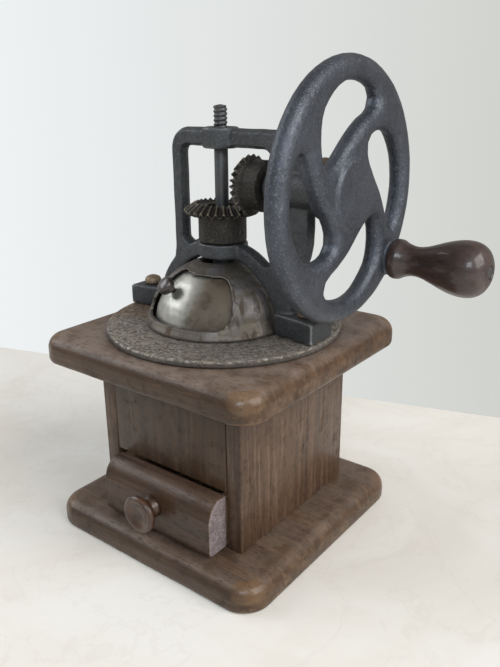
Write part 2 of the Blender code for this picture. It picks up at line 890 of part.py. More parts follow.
steps = [
    ("UNION", foot_bm(-1)),
    ("UNION", foot_bm(1)),
    ("UNION", rod_bm(BOSS_R, BAR_BOTTOM - 0.3, BAR_TOP + 0.25, 32, c=0.6)),
    (
        "UNION",
        lathe_bm(
            [
                (0, 131.2),
                (5.1, 131.2),
                (5.1, 136.7),
                (SLEEVE_R - 0.5, 136.7),
                (SLEEVE_R, 137.3),
                (SLEEVE_R, SLEEVE_TOP - 0.5),
                (SLEEVE_R - 0.5, SLEEVE_TOP),
                (0, SLEEVE_TOP),
            ],
            40,
        ),
    ),
    (
        "UNION",
        rod_bm(BARREL_R, POST_R0 - 1.6, 53.2, 32, "X", (0, 0, SHAFT_Z), c=0.7),
    ),
    ("DIFFERENCE", rod_bm(SLEEVE_R + 0.9, SLEEVE_TOP, SLEEVE_TOP + 8.0, 40)),
    ("DIFFERENCE", rod_bm(ROD_R + 0.085, 125, 200, 24)),
    (
        "DIFFERENCE",
        rod_bm(SHAFT_R + 0.09, 20, 60, 24, "X", (0, 0, SHAFT_Z)),
    ),
    (
        "DIFFERENCE",
        lathe_bm(
            [(NECK_R - 0.7, 90), (DOME_FOOT + 0.5, 90), (DOME_FOOT + 0.5, DOME_BASE + 1.6)]
            + [(DOME_FOOT - 0.8, DOME_BASE + 3.6)]
            + [
                (
                    (DOME_R + 0.45) * math.cos(math.radians(v)),
                    DOME_Z + (DOME_H + 0.45) * math.sin(math.radians(v)),
                )
                for v in (14, 20, 26, 32, 38, 44, 50, 56, 62, 68, 73, 76)
            ],
            48,
            centre=DOME_AT,
        ),
    ),
]
for x in (-SCREW_X, SCREW_X):
    steps.append(
        ("DIFFERENCE", rod_bm(2.6, FOOT_Z0 - 1, FOOT_Z1 + 20, 16, centre=(x, 0, 0)))
    )
place("bridge_frame", combine(frame, steps), IRON)

for name, x in (("frame_screw_left", -SCREW_X), ("frame_screw_right", SCREW_X)):
    h = FOOT_Z1 + GAP
    place(
        name,
        lathe_bm(
            [
                (0, TOP_Z1 - 9.6),
                (1.9, TOP_Z1 - 7.0),
                (1.9, h),
                (4.3, h),
                (4.3, h + 1.4),
                (3.6, h + 2.9),
                (2.0, h + 3.7),
                (0, h + 3.9),
            ],
            20,
            centre=(x, 0, 0),
        ),
        BRASS,
    )

# --- Spindle ----------------------------------------------------------------

PITCH = 1.85
SP0 = 63.0
PIN_Z = 148.3


def thread_bm():
    """A plain rod whose top end carries a helical V thread."""
    seg = 14
    rows = [(SP0, ROD_R - 0.5), (SP0 + 0.5, ROD_R), (ROD_TOP - 15.5, ROD_R)]
    loops = []
    for z, r in rows:
        loops.append(
            [
                (
                    r * math.cos(2 * math.pi * i / seg),
                    r * math.sin(2 * math.pi * i / seg),
                    z,
                )
                for i in range(seg)
            ]
        )
    steps = 42
    z0, z1 = ROD_TOP - 15.2, ROD_TOP - 0.5
    for k in range(steps + 1):
        z = z0 + (z1 - z0) * k / steps
        loop = []
        for i in range(seg):
            t = 2 * math.pi * i / seg
            phase = ((z / PITCH) - i / seg) % 1.0
            depth = 0.62 * max(0.0, 1 - abs(phase - 0.5) * 2 * 1.15)
            fade = min(1.0, (z - z0) / 1.2)
            r = ROD_R - depth * fade
            if k == steps:
                r = min(r, ROD_R - 0.5)
            loop.append((r * math.cos(t), r * math.sin(t), z))
        loops.append(loop)
    bm = bmesh.new()
    rings(
        bm,
        [
            [Vector(p) for p in loop]
            for loop in loops
        ],
        (0, 0, SP0),
        (0, 0, ROD_TOP),
    )
    return bm


cross_hole = rod_bm(1.15, -20, 20, 12, "X", (0, 0, PIN_Z))
place("spindle", combine(thread_bm(), [("DIFFERENCE", cross_hole)]), STEEL)

# --- Bevel gears ------------------------------------------------------------

MODULE = 2 * CROWN_PITCH_R / CROWN_TEETH
PINION_PITCH_R = MODULE * PINION_TEETH / 2
CONE = math.hypot(CROWN_PITCH_R, PINION_PITCH_R)
TOE = 0.70  # the teeth's inner end, as a share of the cone distance


def tooth_ring(teeth, own_r, other_r, scale, phase):
    """One ring of points round a bevel gear at this share of the cone distance: (radius, depth below the apex, angle). Flanks follow the involute of the back cone's equivalent gear."""
    half_angle = math.atan2(own_r, other_r)
    back_r = own_r / math.cos(half_angle)
    base = back_r * math.cos(math.radians(20))
    add, ded = 0.80 * MODULE, 1.02 * MODULE
    inv = lambda r: (
        math.tan(math.acos(min(1.0, base / r))) - math.acos(min(1.0, base / r))
    )
    half_thick = 0.415 * math.pi * MODULE / 2 / back_r
    points = []
    for k in range(teeth):
        mid = 2 * math.pi * k / teeth + phase
        side = []
        for h in (-ded, 0.0, add):
            r = max(back_r + h, base)
            a = half_thick + inv(back_r) - inv(r)
            a = a * back_r / own_r
            side.append((h, a))
        profile = [(h, -a) for h, a in side] + [(h, a) for h, a in side[::-1]]
        for h, a in profile:
            r = (own_r + h * math.cos(half_angle)) * scale
            depth = (other_r - h * math.sin(half_angle)) * scale
            points.append((r, depth, mid + a))
    return points


def zip_rings(bm, a, b):
    """Joins two vertex loops whose counts differ, by their angle. Each is a list of (angle, vertex) in rising order."""
    i = j = 0
    na, nb = len(a), len(b)
    angle = lambda seq, k: seq[k % len(seq)][0] + 2 * math.pi * (k // len(seq))
    while i < na or j < nb:
        if j >= nb or (i < na and angle(a, i + 1) <= angle(b, j + 1)):
            bm.faces.new((a[i % na][1], a[(i + 1) % na][1], b[j % nb][1]))
            i += 1
        else:
            bm.faces.new((a[i % na][1], b[(j + 1) % nb][1], b[j % nb][1]))
            j += 1


def bevel_gear(teeth, own_r, other_r, phase, inner_rows, seg=32):
    """A bevel gear whose apex is the origin and whose axis is +Z down to -Z. inner_rows are (radius, height) pairs from the toe's face round the hub to the heel's back."""
    bm = bmesh.new()
    toe = tooth_ring(teeth, own_r, other_r, TOE, phase)
    heel = tooth_ring(teeth, own_r, other_r, 1.0, phase)
    loops = []
    for ring in (toe, heel):
        loops.append(
            [
                (a, bm.verts.new((r * math.cos(a), r * math.sin(a), -d)))
                for r, d, a in ring
            ]
        )
    n = len(toe)
    for i in range(n):
        j = (i + 1) % n
        bm.faces.new((loops[0][i][1], loops[0][j][1], loops[1][j][1], loops[1][i][1]))
    rows = []
    start = loops[0][0][0]
    for r, z in inner_rows:
        rows.append(
            [
                (
                    start + 2 * math.pi * i / seg,
                    bm.verts.new(
                        (
                            r * math.cos(start + 2 * math.pi * i / seg),
                            r * math.sin(start + 2 * math.pi * i / seg),
                            z,
                        )
                    ),
                )
                for i in range(seg)
            ]
        )
    for a, b in zip(rows, rows[1:]):
        for i in range(seg):
            j = (i + 1) % seg
            bm.faces.new((a[i][1], a[j][1], b[j][1], b[i][1]))
    zip_rings(bm, loops[0], rows[0])
    zip_rings(bm, loops[1], rows[-1])
    bmesh.ops.recalc_face_normals(bm, faces=bm.faces[:])
    return bm


def moved(bm, fn):
    for v in bm.verts:
        v.co = Vector(fn(v.co))
    return bm


HUB_Z0 = SLEEVE_TOP + GAP - SHAFT_Z
back_d = -(PINION_PITCH_R + 1.02 * MODULE * math.sin(math.atan2(CROWN_PITCH_R, PINION_PITCH_R)))
crown = bevel_gear(
    CROWN_TEETH,
    CROWN_PITCH_R,
    PINION_PITCH_R,
    0.0,
    [
        (9.6, -TOE * PINION_PITCH_R - 1.3),
        (7.2, -TOE * PINION_PITCH_R - 1.3),
        (7.2, -12.6),
        (ROD_R + 0.3, -12.6),
        (ROD_R + 0.3, HUB_Z0),
        (10.7, HUB_Z0),
        (11.2, HUB_Z0 + 0.5),
        (11.2, back_d - 0.6),
        (15.0, back_d - 0.6),
    ],
)
crown = moved(crown, lambda p: (p.x, p.y, p.z + SHAFT_Z))
place(
    "crown_gear",
    combine(
        crown, [("DIFFERENCE", rod_bm(1.15, -20, 20, 12, "X", (0, 0, PIN_Z)))]
    ),
    IRON,
    (0, 0, SHAFT_Z),
)
place(
    "crown_pin",
    rod_bm(0.9, -10.6, 10.6, 10, "X", (0, 0, PIN_Z)),
    STEEL,
)

PGX = CROWN_PITCH_R + 6.6  # the pinion's back
mesh_phase = math.pi / PINION_TEETH
back_p = -(CROWN_PITCH_R + 1.02 * MODULE * math.sin(math.atan2(PINION_PITCH_R, CROWN_PITCH_R)))
pinion = bevel_gear(
    PINION_TEETH,
    PINION_PITCH_R,
    CROWN_PITCH_R,
    math.pi + mesh_phase,
    [
        (6.6, -TOE * CROWN_PITCH_R - 0.9),
        (SHAFT_R + 0.3, -TOE * CROWN_PITCH_R - 0.9),
        (SHAFT_R + 0.3, -PGX - 2.6),
        (10.6, -PGX - 2.6),
        (11.2, -PGX - 2.0),
        (11.2, back_p - 0.6),
        (11.9, back_p - 0.6),
    ],
)
# Its axis runs from the apex along +X: -Z becomes +X and the pitch line lies below the shaft.
pinion = moved(pinion, lambda p: (-p.z, p.y, p.x + SHAFT_Z))
PPIN_X = CROWN_PITCH_R + 5.4
place(
    "pinion_gear",
    combine(pinion, [("DIFFERENCE", rod_bm(1.15, 150, 200, 12, "Z", (PPIN_X, 0, 0)))]),
    IRON,
    (0, 0, SHAFT_Z),
)
place(
    "pinion_pin",
    rod_bm(0.9, SHAFT_Z - 10.6, SHAFT_Z + 10.6, 10, "Z", (PPIN_X, 0, 0)),
    STEEL,
    (PPIN_X, 0, SHAFT_Z),
)
SCREW_TILT = math.radians(22)
COLLAR_X0, COLLAR_R = 54.0, 11.4
SET_X = 57.2
set_dir = Vector((0, -math.sin(SCREW_TILT), math.cos(SCREW_TILT)))
set_rot = Vector((0, 0, 1)).rotation_difference(set_dir).to_matrix()


def along_set(bm):
    for v in bm.verts:
        v.co = set_rot @ v.co + Vector((SET_X, 0, SHAFT_Z))
    return bm


place(
    "crank_shaft",
    combine(
        lathe_bm(
            [
                (0, 11.6),
                (SHAFT_R - 0.5, 11.6),
                (SHAFT_R, 12.1),
                (SHAFT_R, 67.0),
                (SHAFT_R - 0.5, 67.5),
                (0, 67.5),
            ],
            24,
            "X",
            (0, 0, SHAFT_Z),
        ),
        [
            ("DIFFERENCE", rod_bm(1.15, 150, 200, 12, "Z", (PPIN_X, 0, 0))),
            ("DIFFERENCE", along_set(rod_bm(1.9, SHAFT_R - 0.9, 12, 12))),
        ],
    ),
    STEEL,
    (0, 0, SHAFT_Z),
)
place(
    "wheel_set_screw",
    along_set(
        lathe_bm(
            [
                (0, SHAFT_R - 0.5),
                (1.5, SHAFT_R - 0.5),
                (1.5, COLLAR_R + 0.5),
                (2.6, COLLAR_R + 0.7),
                (2.6, COLLAR_R + 2.6),
                (1.9, COLLAR_R + 3.4),
                (0, COLLAR_R + 3.5),
            ],
            12,
        )
    ),
    STEEL,
    (SET_X, 0, SHAFT_Z),
)

# --- Wheel ------------------------------------------------------------------

# One opening between two spokes, as (across, up) from the wheel's axis. The other three are this one turned by quarters.
OPENING = [
    (-22.6, 29.5),
    (-23.3, 26.0),
    (-23.3, 22.0),
    (-22.7, 18.0),
    (-21.2, 14.5),
    (-18.7, 12.4),
    (-15.4, 12.5),
    (-12.2, 14.0),
    (-9.2, 16.1),
    (-6.2, 18.6),
    (-3.0, 21.3),
    (0.8, 24.3),
    (4.8, 27.0),
    (9.2, 29.4),
    (14.0, 31.2),
    (17.4, 33.4),
    (18.4, 36.3),
    (16.4, 39.2),
    (12.0, 41.3),
    (6.8, 42.5),
    (2.0, 43.1),
    (-2.6, 43.0),
    (-7.0, 42.2),
    (-11.2, 40.6),
    (-15.2, 38.2),
    (-18.6, 35.4),
    (-21.2, 32.6),
]
rim = [
    (
        (WHEEL_R + RIM_A) * math.cos(2 * math.pi * i / 60),
        (WHEEL_R + RIM_A) * math.sin(2 * math.pi * i / 60),
    )
    for i in range(60)
]
openings = []
for q in range(4):
    c, s = round(math.cos(q * math.pi / 2)), round(math.sin(q * math.pi / 2))
    openings.append(turned([(c * y - s * z, s * y + c * z) for y, z in OPENING], True))
wheel = plate_bm(
    rim, openings, RIM_H, 4.3, 3, lambda u, v, w: (WHEEL_X + w, u, v + SHAFT_Z)
)
ha = math.radians(HANDLE_ANGLE)
HY, HZ = WHEEL_R * math.cos(ha), SHAFT_Z + WHEEL_R * math.sin(ha)
wheel = combine(
    wheel,
    [
        (
            "UNION",
            lathe_bm(
                [
                    (0, COLLAR_X0),
                    (COLLAR_R - 0.5, COLLAR_X0),
                    (COLLAR_R, COLLAR_X0 + 0.5),
                    (COLLAR_R + 0.3, WHEEL_X - 3.0),
                    (0, WHEEL_X - 3.0),
                ],
                32,
                "X",
                (0, 0, SHAFT_Z),
            ),
        ),
        (
            "UNION",
            lathe_bm(
                [
                    (0, WHEEL_X),
                    (15.2, WHEEL_X),
                    (14.8, WHEEL_X + RIM_H + 0.5),
                    (13.8, WHEEL_X + RIM_H + 1.3),
                    (0, WHEEL_X + RIM_H + 1.5),
                ],
                40,
                "X",
                (0, 0, SHAFT_Z),
            ),
        ),
        (
            "UNION",
            lathe_bm(
                [
                    (0, WHEEL_X - 2),
                    (8.2, WHEEL_X - 2),
                    (7.6, WHEEL_X + RIM_H + 0.9),
                    (6.9, WHEEL_X + RIM_H + 1.5),
                    (0, WHEEL_X + RIM_H + 1.5),
                ],
                28,
                "X",
                (0, HY, HZ),
            ),
        ),
        (
            "DIFFERENCE",
            rod_bm(SHAFT_R + 0.3, 50, 67.9, 24, "X", (0, 0, SHAFT_Z)),
        ),
        ("DIFFERENCE", along_set(rod_bm(1.9, 0, 20, 12))),
        ("DIFFERENCE", rod_bm(2.3, 55, 80, 16, "X", (0, HY, HZ))),
    ],
)
place("hand_wheel", wheel, IRON, (0, 0, SHAFT_Z))

# --- Handle -----------------------------------------------------------------

H0 = WHEEL_X + RIM_H + 1.5 + GAP
H1 = H0 + HANDLE_LEN
grip = []
for u, r in (
    (0.0, 0.70),
    (0.03, 0.735),
    (0.08, 0.72),
    (0.13, 0.63),
    (0.20, 0.555),
    (0.27, 0.545),
    (0.35, 0.60),
    (0.44, 0.71),
    (0.53, 0.83),
    (0.62, 0.93),
    (0.70, 0.985),
    (0.77, 1.0),
    (0.84, 0.965),
    (0.90, 0.87),
    (0.945, 0.73),
    (0.98, 0.52),
    (0.995, 0.34),
):
    grip.append((r * HANDLE_R, H0 + u * HANDLE_LEN))
place(
    "handle_grip",
    lathe_bm(
        [(2.28, H0), *grip, (3.0, H1), (3.0, H1 - 2.4), (2.28, H1 - 2.4)],
        24,
        "X",
        (0, HY, HZ),
    ),
    HANDLEWOOD,
    (0, HY, HZ),
)
place(
    "handle_bolt",
    lathe_bm(
        [
            (0, WHEEL_X - RIM_H - 1.6),
            (3.6, WHEEL_X - RIM_H - 1.6),
            (4.0, WHEEL_X - RIM_H - 1.2),
            (4.0, WHEEL_X - RIM_H - 0.35),
            (2.2, WHEEL_X - RIM_H - 0.35),
            (2.2, H1 - 2.0),
            (2.65, H1 - 2.0),
            (2.65, H1 - 0.6),
            (1.8, H1 - 0.1),
            (0, H1),
        ],
        20,
        "X",
        (0, HY, HZ),
    ),
    STEEL,
    (0, HY, HZ),
)

# --- Grinding burrs, under the plate ----------------------------------------


def ridged(profile_in, profile_out, teeth, depth, inside):
    """A ring whose inner or outer face is ridged. Each profile is (radius, height) pairs from the bottom up."""
    seg = teeth * 4
    bm = bmesh.new()
    loops = []
    for rows, ridge in ((profile_out, not inside), (profile_in[::-1], inside)):
        for k, (r, z) in enumerate(rows):
            loop = []
            for i in range(seg):
                t = 2 * math.pi * i / seg
                d = depth * (0.0, 0.5, 1.0, 0.0)[i % 4] if ridge else 0.0
                q = r + d if inside else r - d
                loop.append((q * math.cos(t), q * math.sin(t), z))
            loops.append(loop)
    rings(bm, loops)
    return bm


BURR_TOP = PLATE_Z0 - GAP
BURR_Z0 = 79.4
bm = ridged(
    [(13.4, BURR_Z0), (14.2, BURR_Z0 + 4), (19.0, BURR_TOP)],
    [(25.0, BURR_Z0), (25.0, BURR_TOP)],
    18,
    1.5,
    True,
)
cuts = [
    (
        "DIFFERENCE",
        rod_bm(1.8, BURR_Z0 - 5, BURR_TOP + 5, 12, centre=(0, y, 0)),
    )
    for y in (-BURR_SCREW_Y, BURR_SCREW_Y)
]
bm = combine(bm, cuts)
place("outer_burr", bm, STEEL)
place(
    "inner_burr",
    ridged(
        [(ROD_R + 0.3, BURR_Z0 + 0.4), (ROD_R + 0.3, 99.0)],
        [(12.6, BURR_Z0 + 0.4), (12.3, BURR_Z0 + 4), (7.0, 99.0)],
        14,
        1.2,
        False,
    ),
    STEEL,
)
bm = box_bm(-7.0, 7.0, -26.0, 26.0, 70.6, 74.6)
steps = [
    ("UNION", box_bm(-6.9, 6.9, -25.9, -19.4, 74.0, BURR_Z0 - GAP)),
    ("UNION", box_bm(-6.9, 6.9, 19.4, 25.9, 74.0, BURR_Z0 - GAP)),
    ("DIFFERENCE", rod_bm(ROD_R + 0.085, 60, 90, 24)),
    ("DIFFERENCE", rod_bm(1.8, 60, 90, 12, centre=(0, -BURR_SCREW_Y, 0))),
    ("DIFFERENCE", rod_bm(1.8, 60, 90, 12, centre=(0, BURR_SCREW_Y, 0))),
]
place("burr_bracket", combine(bm, steps), IRON)
for name, y in (("bracket_screw_front", -BURR_SCREW_Y), ("bracket_screw_back", BURR_SCREW_Y)):
    place(
        name,
        lathe_bm(
            [
                (0, 67.8),
                (3.0, 67.8),
                (3.3, 68.2),
                (3.3, 70.3),
                (1.5, 70.3),
                (1.5, PLATE_Z0 + 1.9),
                (0, PLATE_Z0 + 1.9),
            ],
            12,
            centre=(0, y, 0),
        ),
        STEEL,
    )
# Square collar pinned by its fit on the spindle's lower end, under the bracket.
bm = lathe_bm(
    [
        (ROD_R + 0.3, 65.6),
        (6.0, 65.6),
        (6.0, 70.3),
        (ROD_R + 0.3, 70.3),
    ],
    24,
)
place("spindle_collar", bm, STEEL)
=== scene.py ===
"""The looks of a hand crank coffee grinder: a dark wooden box mill with a drawer, a round plate, a domed hopper with a sliding door, an iron bridge, bevel gears and a side wheel with a turned handle.

Lengths below are millimetres, and metres in the scene. +Z is up, the drawer faces -Y and the wheel is on the +X side."""

import json
import math

import bmesh
import bpy
import numpy as np
from mathutils import Matrix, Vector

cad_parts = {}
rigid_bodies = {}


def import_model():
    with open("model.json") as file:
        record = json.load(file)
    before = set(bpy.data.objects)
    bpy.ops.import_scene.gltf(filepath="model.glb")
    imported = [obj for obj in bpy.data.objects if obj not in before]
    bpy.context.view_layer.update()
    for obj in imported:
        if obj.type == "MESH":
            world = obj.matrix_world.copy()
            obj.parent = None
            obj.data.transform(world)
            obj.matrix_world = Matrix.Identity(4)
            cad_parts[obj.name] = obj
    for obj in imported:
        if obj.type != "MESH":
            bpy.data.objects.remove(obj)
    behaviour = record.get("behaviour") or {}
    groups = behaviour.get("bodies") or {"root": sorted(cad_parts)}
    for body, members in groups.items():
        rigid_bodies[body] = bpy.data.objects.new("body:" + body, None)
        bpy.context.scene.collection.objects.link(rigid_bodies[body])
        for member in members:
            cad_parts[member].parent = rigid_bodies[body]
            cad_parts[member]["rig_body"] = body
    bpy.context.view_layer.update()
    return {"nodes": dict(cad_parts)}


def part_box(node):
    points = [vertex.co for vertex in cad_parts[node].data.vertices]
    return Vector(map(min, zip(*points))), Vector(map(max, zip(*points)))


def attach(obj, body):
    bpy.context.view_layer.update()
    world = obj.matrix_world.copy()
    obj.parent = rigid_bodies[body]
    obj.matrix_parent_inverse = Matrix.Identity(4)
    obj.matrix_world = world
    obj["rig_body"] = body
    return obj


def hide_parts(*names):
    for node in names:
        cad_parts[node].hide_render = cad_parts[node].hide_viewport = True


MM = 0.001

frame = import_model()
nodes = frame["nodes"]


# --- Camera, light and table -------------------------------------------------

CAMERA_AT = (205.57, -247.01, 212.31)
CAMERA_TURN = math.radians(37.571)
CAMERA_RISE = math.radians(19.740)
CAMERA_ROLL = math.radians(-0.442)
LENS = 37.574
ROOM_LIGHT = 1.0
# Painted light on the wall the camera sees: lighter on the left, darker on the right.
WALL_LEFT, WALL_RIGHT = (0.86, 0.89, 0.90, 1), (0.64, 0.65, 0.62, 1)
WALL_REACH = 0.33


def make_camera():
    """A level camera turned round the mill, raised and rolled by the angles above."""
    turn, rise, roll = CAMERA_TURN, CAMERA_RISE, CAMERA_ROLL
    back = np.array(
        [math.sin(turn) * math.cos(rise), -math.cos(turn) * math.cos(rise), math.sin(rise)]
    )
    right = np.array([math.cos(turn), math.sin(turn), 0.0])
    up = np.cross(back, right)
    across = right * math.cos(roll) + up * math.sin(roll)
    upwards = up * math.cos(roll) - right * math.sin(roll)
    data = bpy.data.cameras.new("camera")
    data.lens = LENS
    data.sensor_width = 36.0
    data.clip_start, data.clip_end = 0.01, 20.0
    camera = bpy.data.objects.new("camera", data)
    turned = np.eye(4)
    turned[:3, 0], turned[:3, 1], turned[:3, 2] = across, upwards, back
    turned[:3, 3] = np.array(CAMERA_AT) * MM
    camera.matrix_world = Matrix(turned.tolist())
    bpy.context.scene.collection.objects.link(camera)
    bpy.context.scene.camera = camera


def window(name, at, towards, width, height, power, colour):
    """A soft rectangular light of this size in metres, at one point and facing another."""
    data = bpy.data.lights.new(name, "AREA")
    data.shape = "RECTANGLE"
    data.size, data.size_y = width, height
    data.energy = power
    data.color = colour
    lamp = bpy.data.objects.new(name, data)
    back = np.array(at, float) - np.array(towards, float)
    back /= np.linalg.norm(back)
    side = np.cross((0, 0, 1), back)
    side /= np.linalg.norm(side)
    turned = np.eye(4)
    turned[:3, 0], turned[:3, 1], turned[:3, 2] = side, np.cross(back, side), back
    turned[:3, 3] = at
    lamp.matrix_world = Matrix(turned.tolist())
    bpy.context.scene.collection.objects.link(lamp)


def make_light():
    """Daylight from the right, a cool window behind the viewer and a dim room under a pale wall."""
    middle = (0.0, 0.0, 0.1)
    window("day_window", (1.40, 0.05, 1.0), middle, 1.3, 1.2, 25.0, (1.0, 0.97, 0.94))
    window("cool_window", (0.75, -1.15, 0.95), middle, 0.55, 0.5, 8.0, (0.78, 0.89, 1.0))
    window("left_glow", (-1.2, -0.5, 0.9), middle, 1.0, 0.9, 8.0, (0.95, 0.97, 1.0))
    world = bpy.data.worlds.new("room")
    world.use_nodes = True
    tree = world.node_tree
    wall = tree.nodes["Background"]
    way = tree.nodes.new("ShaderNodeTexCoord")
    across = tree.nodes.new("ShaderNodeVectorMath")
    across.operation = "DOT_PRODUCT"
    across.inputs[1].default_value = (math.cos(CAMERA_TURN), math.sin(CAMERA_TURN), 0.0)
    share = tree.nodes.new("ShaderNodeMapRange")
    share.inputs["From Min"].default_value = -WALL_REACH
    share.inputs["From Max"].default_value = WALL_REACH
    # Painted light: the seen wall's colour runs from WALL_LEFT to WALL_RIGHT across the view.
    shade = tree.nodes.new("ShaderNodeMix")
    shade.data_type = "RGBA"
    shade.inputs[6].default_value, shade.inputs[7].default_value = WALL_LEFT, WALL_RIGHT
    tree.links.new(way.outputs["Generated"], across.inputs[0])
    tree.links.new(across.outputs["Value"], share.inputs["Value"])
    tree.links.new(share.outputs["Result"], shade.inputs["Factor"])
    tree.links.new(shade.outputs[2], wall.inputs["Color"])
    room = tree.nodes.new("ShaderNodeBackground")
    room.inputs["Color"].default_value = (0.385, 0.375, 0.36, 1)
    room.inputs["Strength"].default_value = ROOM_LIGHT
    seen = tree.nodes.new("ShaderNodeLightPath")
    either = tree.nodes.new("ShaderNodeMixShader")
    tree.links.new(seen.outputs["Is Camera Ray"], either.inputs[0])
    tree.links.new(room.outputs[0], either.inputs[1])
    tree.links.new(wall.outputs[0], either.inputs[2])
    tree.links.new(either.outputs[0], tree.nodes["World Output"].inputs["Surface"])
    bpy.context.scene.world = world
    bpy.context.scene.view_settings.view_transform = "Standard"


# --- Shader maths ------------------------------------------------------------


class Value:
    """A shader socket that + - * / and ** turn into Math nodes."""

    def __init__(self, finish, socket):
        self.finish, self.socket = finish, socket

    def _maths(self, operation, first, second):
        return self.finish.node("Math", {"operation": operation}, {0: first, 1: second})

    def __add__(self, other):
        return self._maths("ADD", self, other)

    __radd__ = __add__

    def __mul__(self, other):
        return self._maths("MULTIPLY", self, other)

    __rmul__ = __mul__

    def __sub__(self, other):
        return self._maths("SUBTRACT", self, other)

    def __rsub__(self, other):
        return self._maths("SUBTRACT", other, self)

    def __truediv__(self, other):
        return self._maths("DIVIDE", self, other)

    def __pow__(self, other):
        return self._maths("POWER", self, other)


class Finish:
    """One material, built from its nodes. Patterns read Object coordinates in millimetres."""

    def __init__(self, name, **fixed):
        self.material = bpy.data.materials.new(name)
        self.material.use_nodes = True
        self.tree = self.material.node_tree
        self.shader = self.tree.nodes["Principled BSDF"]
        for socket, number in fixed.items():
            self.shader.inputs[socket.replace("_", " ")].default_value = number
        self.point = self.node("TexCoord", {}, {}, "Object")

    def node(self, kind, settings, sockets, output=0):
        made = self.tree.nodes.new("ShaderNode" + kind)
        for key, setting in settings.items():
            setattr(made, key, setting)
        for key, value in sockets.items():
            if isinstance(value, Value):
                self.tree.links.new(value.socket, made.inputs[key])
            else:
                made.inputs[key].default_value = value
        return Value(self, made.outputs[output])

    def place(self, scale=(1, 1, 1), turn=(0, 0, 0), shift=(0, 0, 0)):
        """Object coordinates in millimetres, squeezed by scale, turned in degrees and shifted."""
        return self.node(
            "Mapping",
            {},
            {
                "Vector": self.point,
                "Location": shift,
                "Rotation": tuple(math.radians(a) for a in turn),
                "Scale": tuple(s / MM for s in scale),
            },
        )

    def noise(self, where, scale, detail=3.0, rough=0.55, bend=0.0):
        return self.node(
            "TexNoise",
            {},
            {"Vector": where, "Scale": scale, "Detail": detail, "Roughness": rough, "Distortion": bend},
        )

    def cells(self, where, scale, feature="F1"):
        return self.node("TexVoronoi", {"feature": feature}, {"Vector": where, "Scale": scale})

    def step(self, value, low, high):
        """0 below low, 1 above high, and a smooth rise between."""
        return self.node(
            "MapRange",
            {"interpolation_type": "SMOOTHSTEP"},
            {"Value": value, "From Min": low, "From Max": high},
        )

    def mix(self, share, first, second):
        """first where share is 0 and second where it is 1; both are colours."""
        return self.node(
            "Mix",
            {"data_type": "RGBA"},
            {
                "Factor": share,
                6: first if isinstance(first, Value) else (*first, 1),
                7: second if isinstance(second, Value) else (*second, 1),
            },
            2,
        )

    def attribute(self, name):
        return self.node("Attribute", {"attribute_name": name}, {}, "Fac")

    def part(self, vector, axis):
        return self.node("SeparateXYZ", {}, {0: vector}, "XYZ".index(axis))

    def facing(self, axis):
        """How far the surface faces along this axis, from -1 to 1."""
        return self.part(self.node("NewGeometry", {}, {}, "Normal"), axis)

    def bump(self, height, depth, below=None):
        """A normal for relief of this depth in millimetres where height goes from 0 to 1."""
        sockets = {"Height": height, "Distance": depth * MM, "Strength": 1.0}
        if below is not None:
            sockets["Normal"] = below
        return self.node("Bump", {}, sockets)

    def set(self, **sockets):
        for name, value in sockets.items():
            self.tree.links.new(value.socket, self.shader.inputs[name.replace("_", " ")])
        return self.material


# --- Finishes ----------------------------------------------------------------


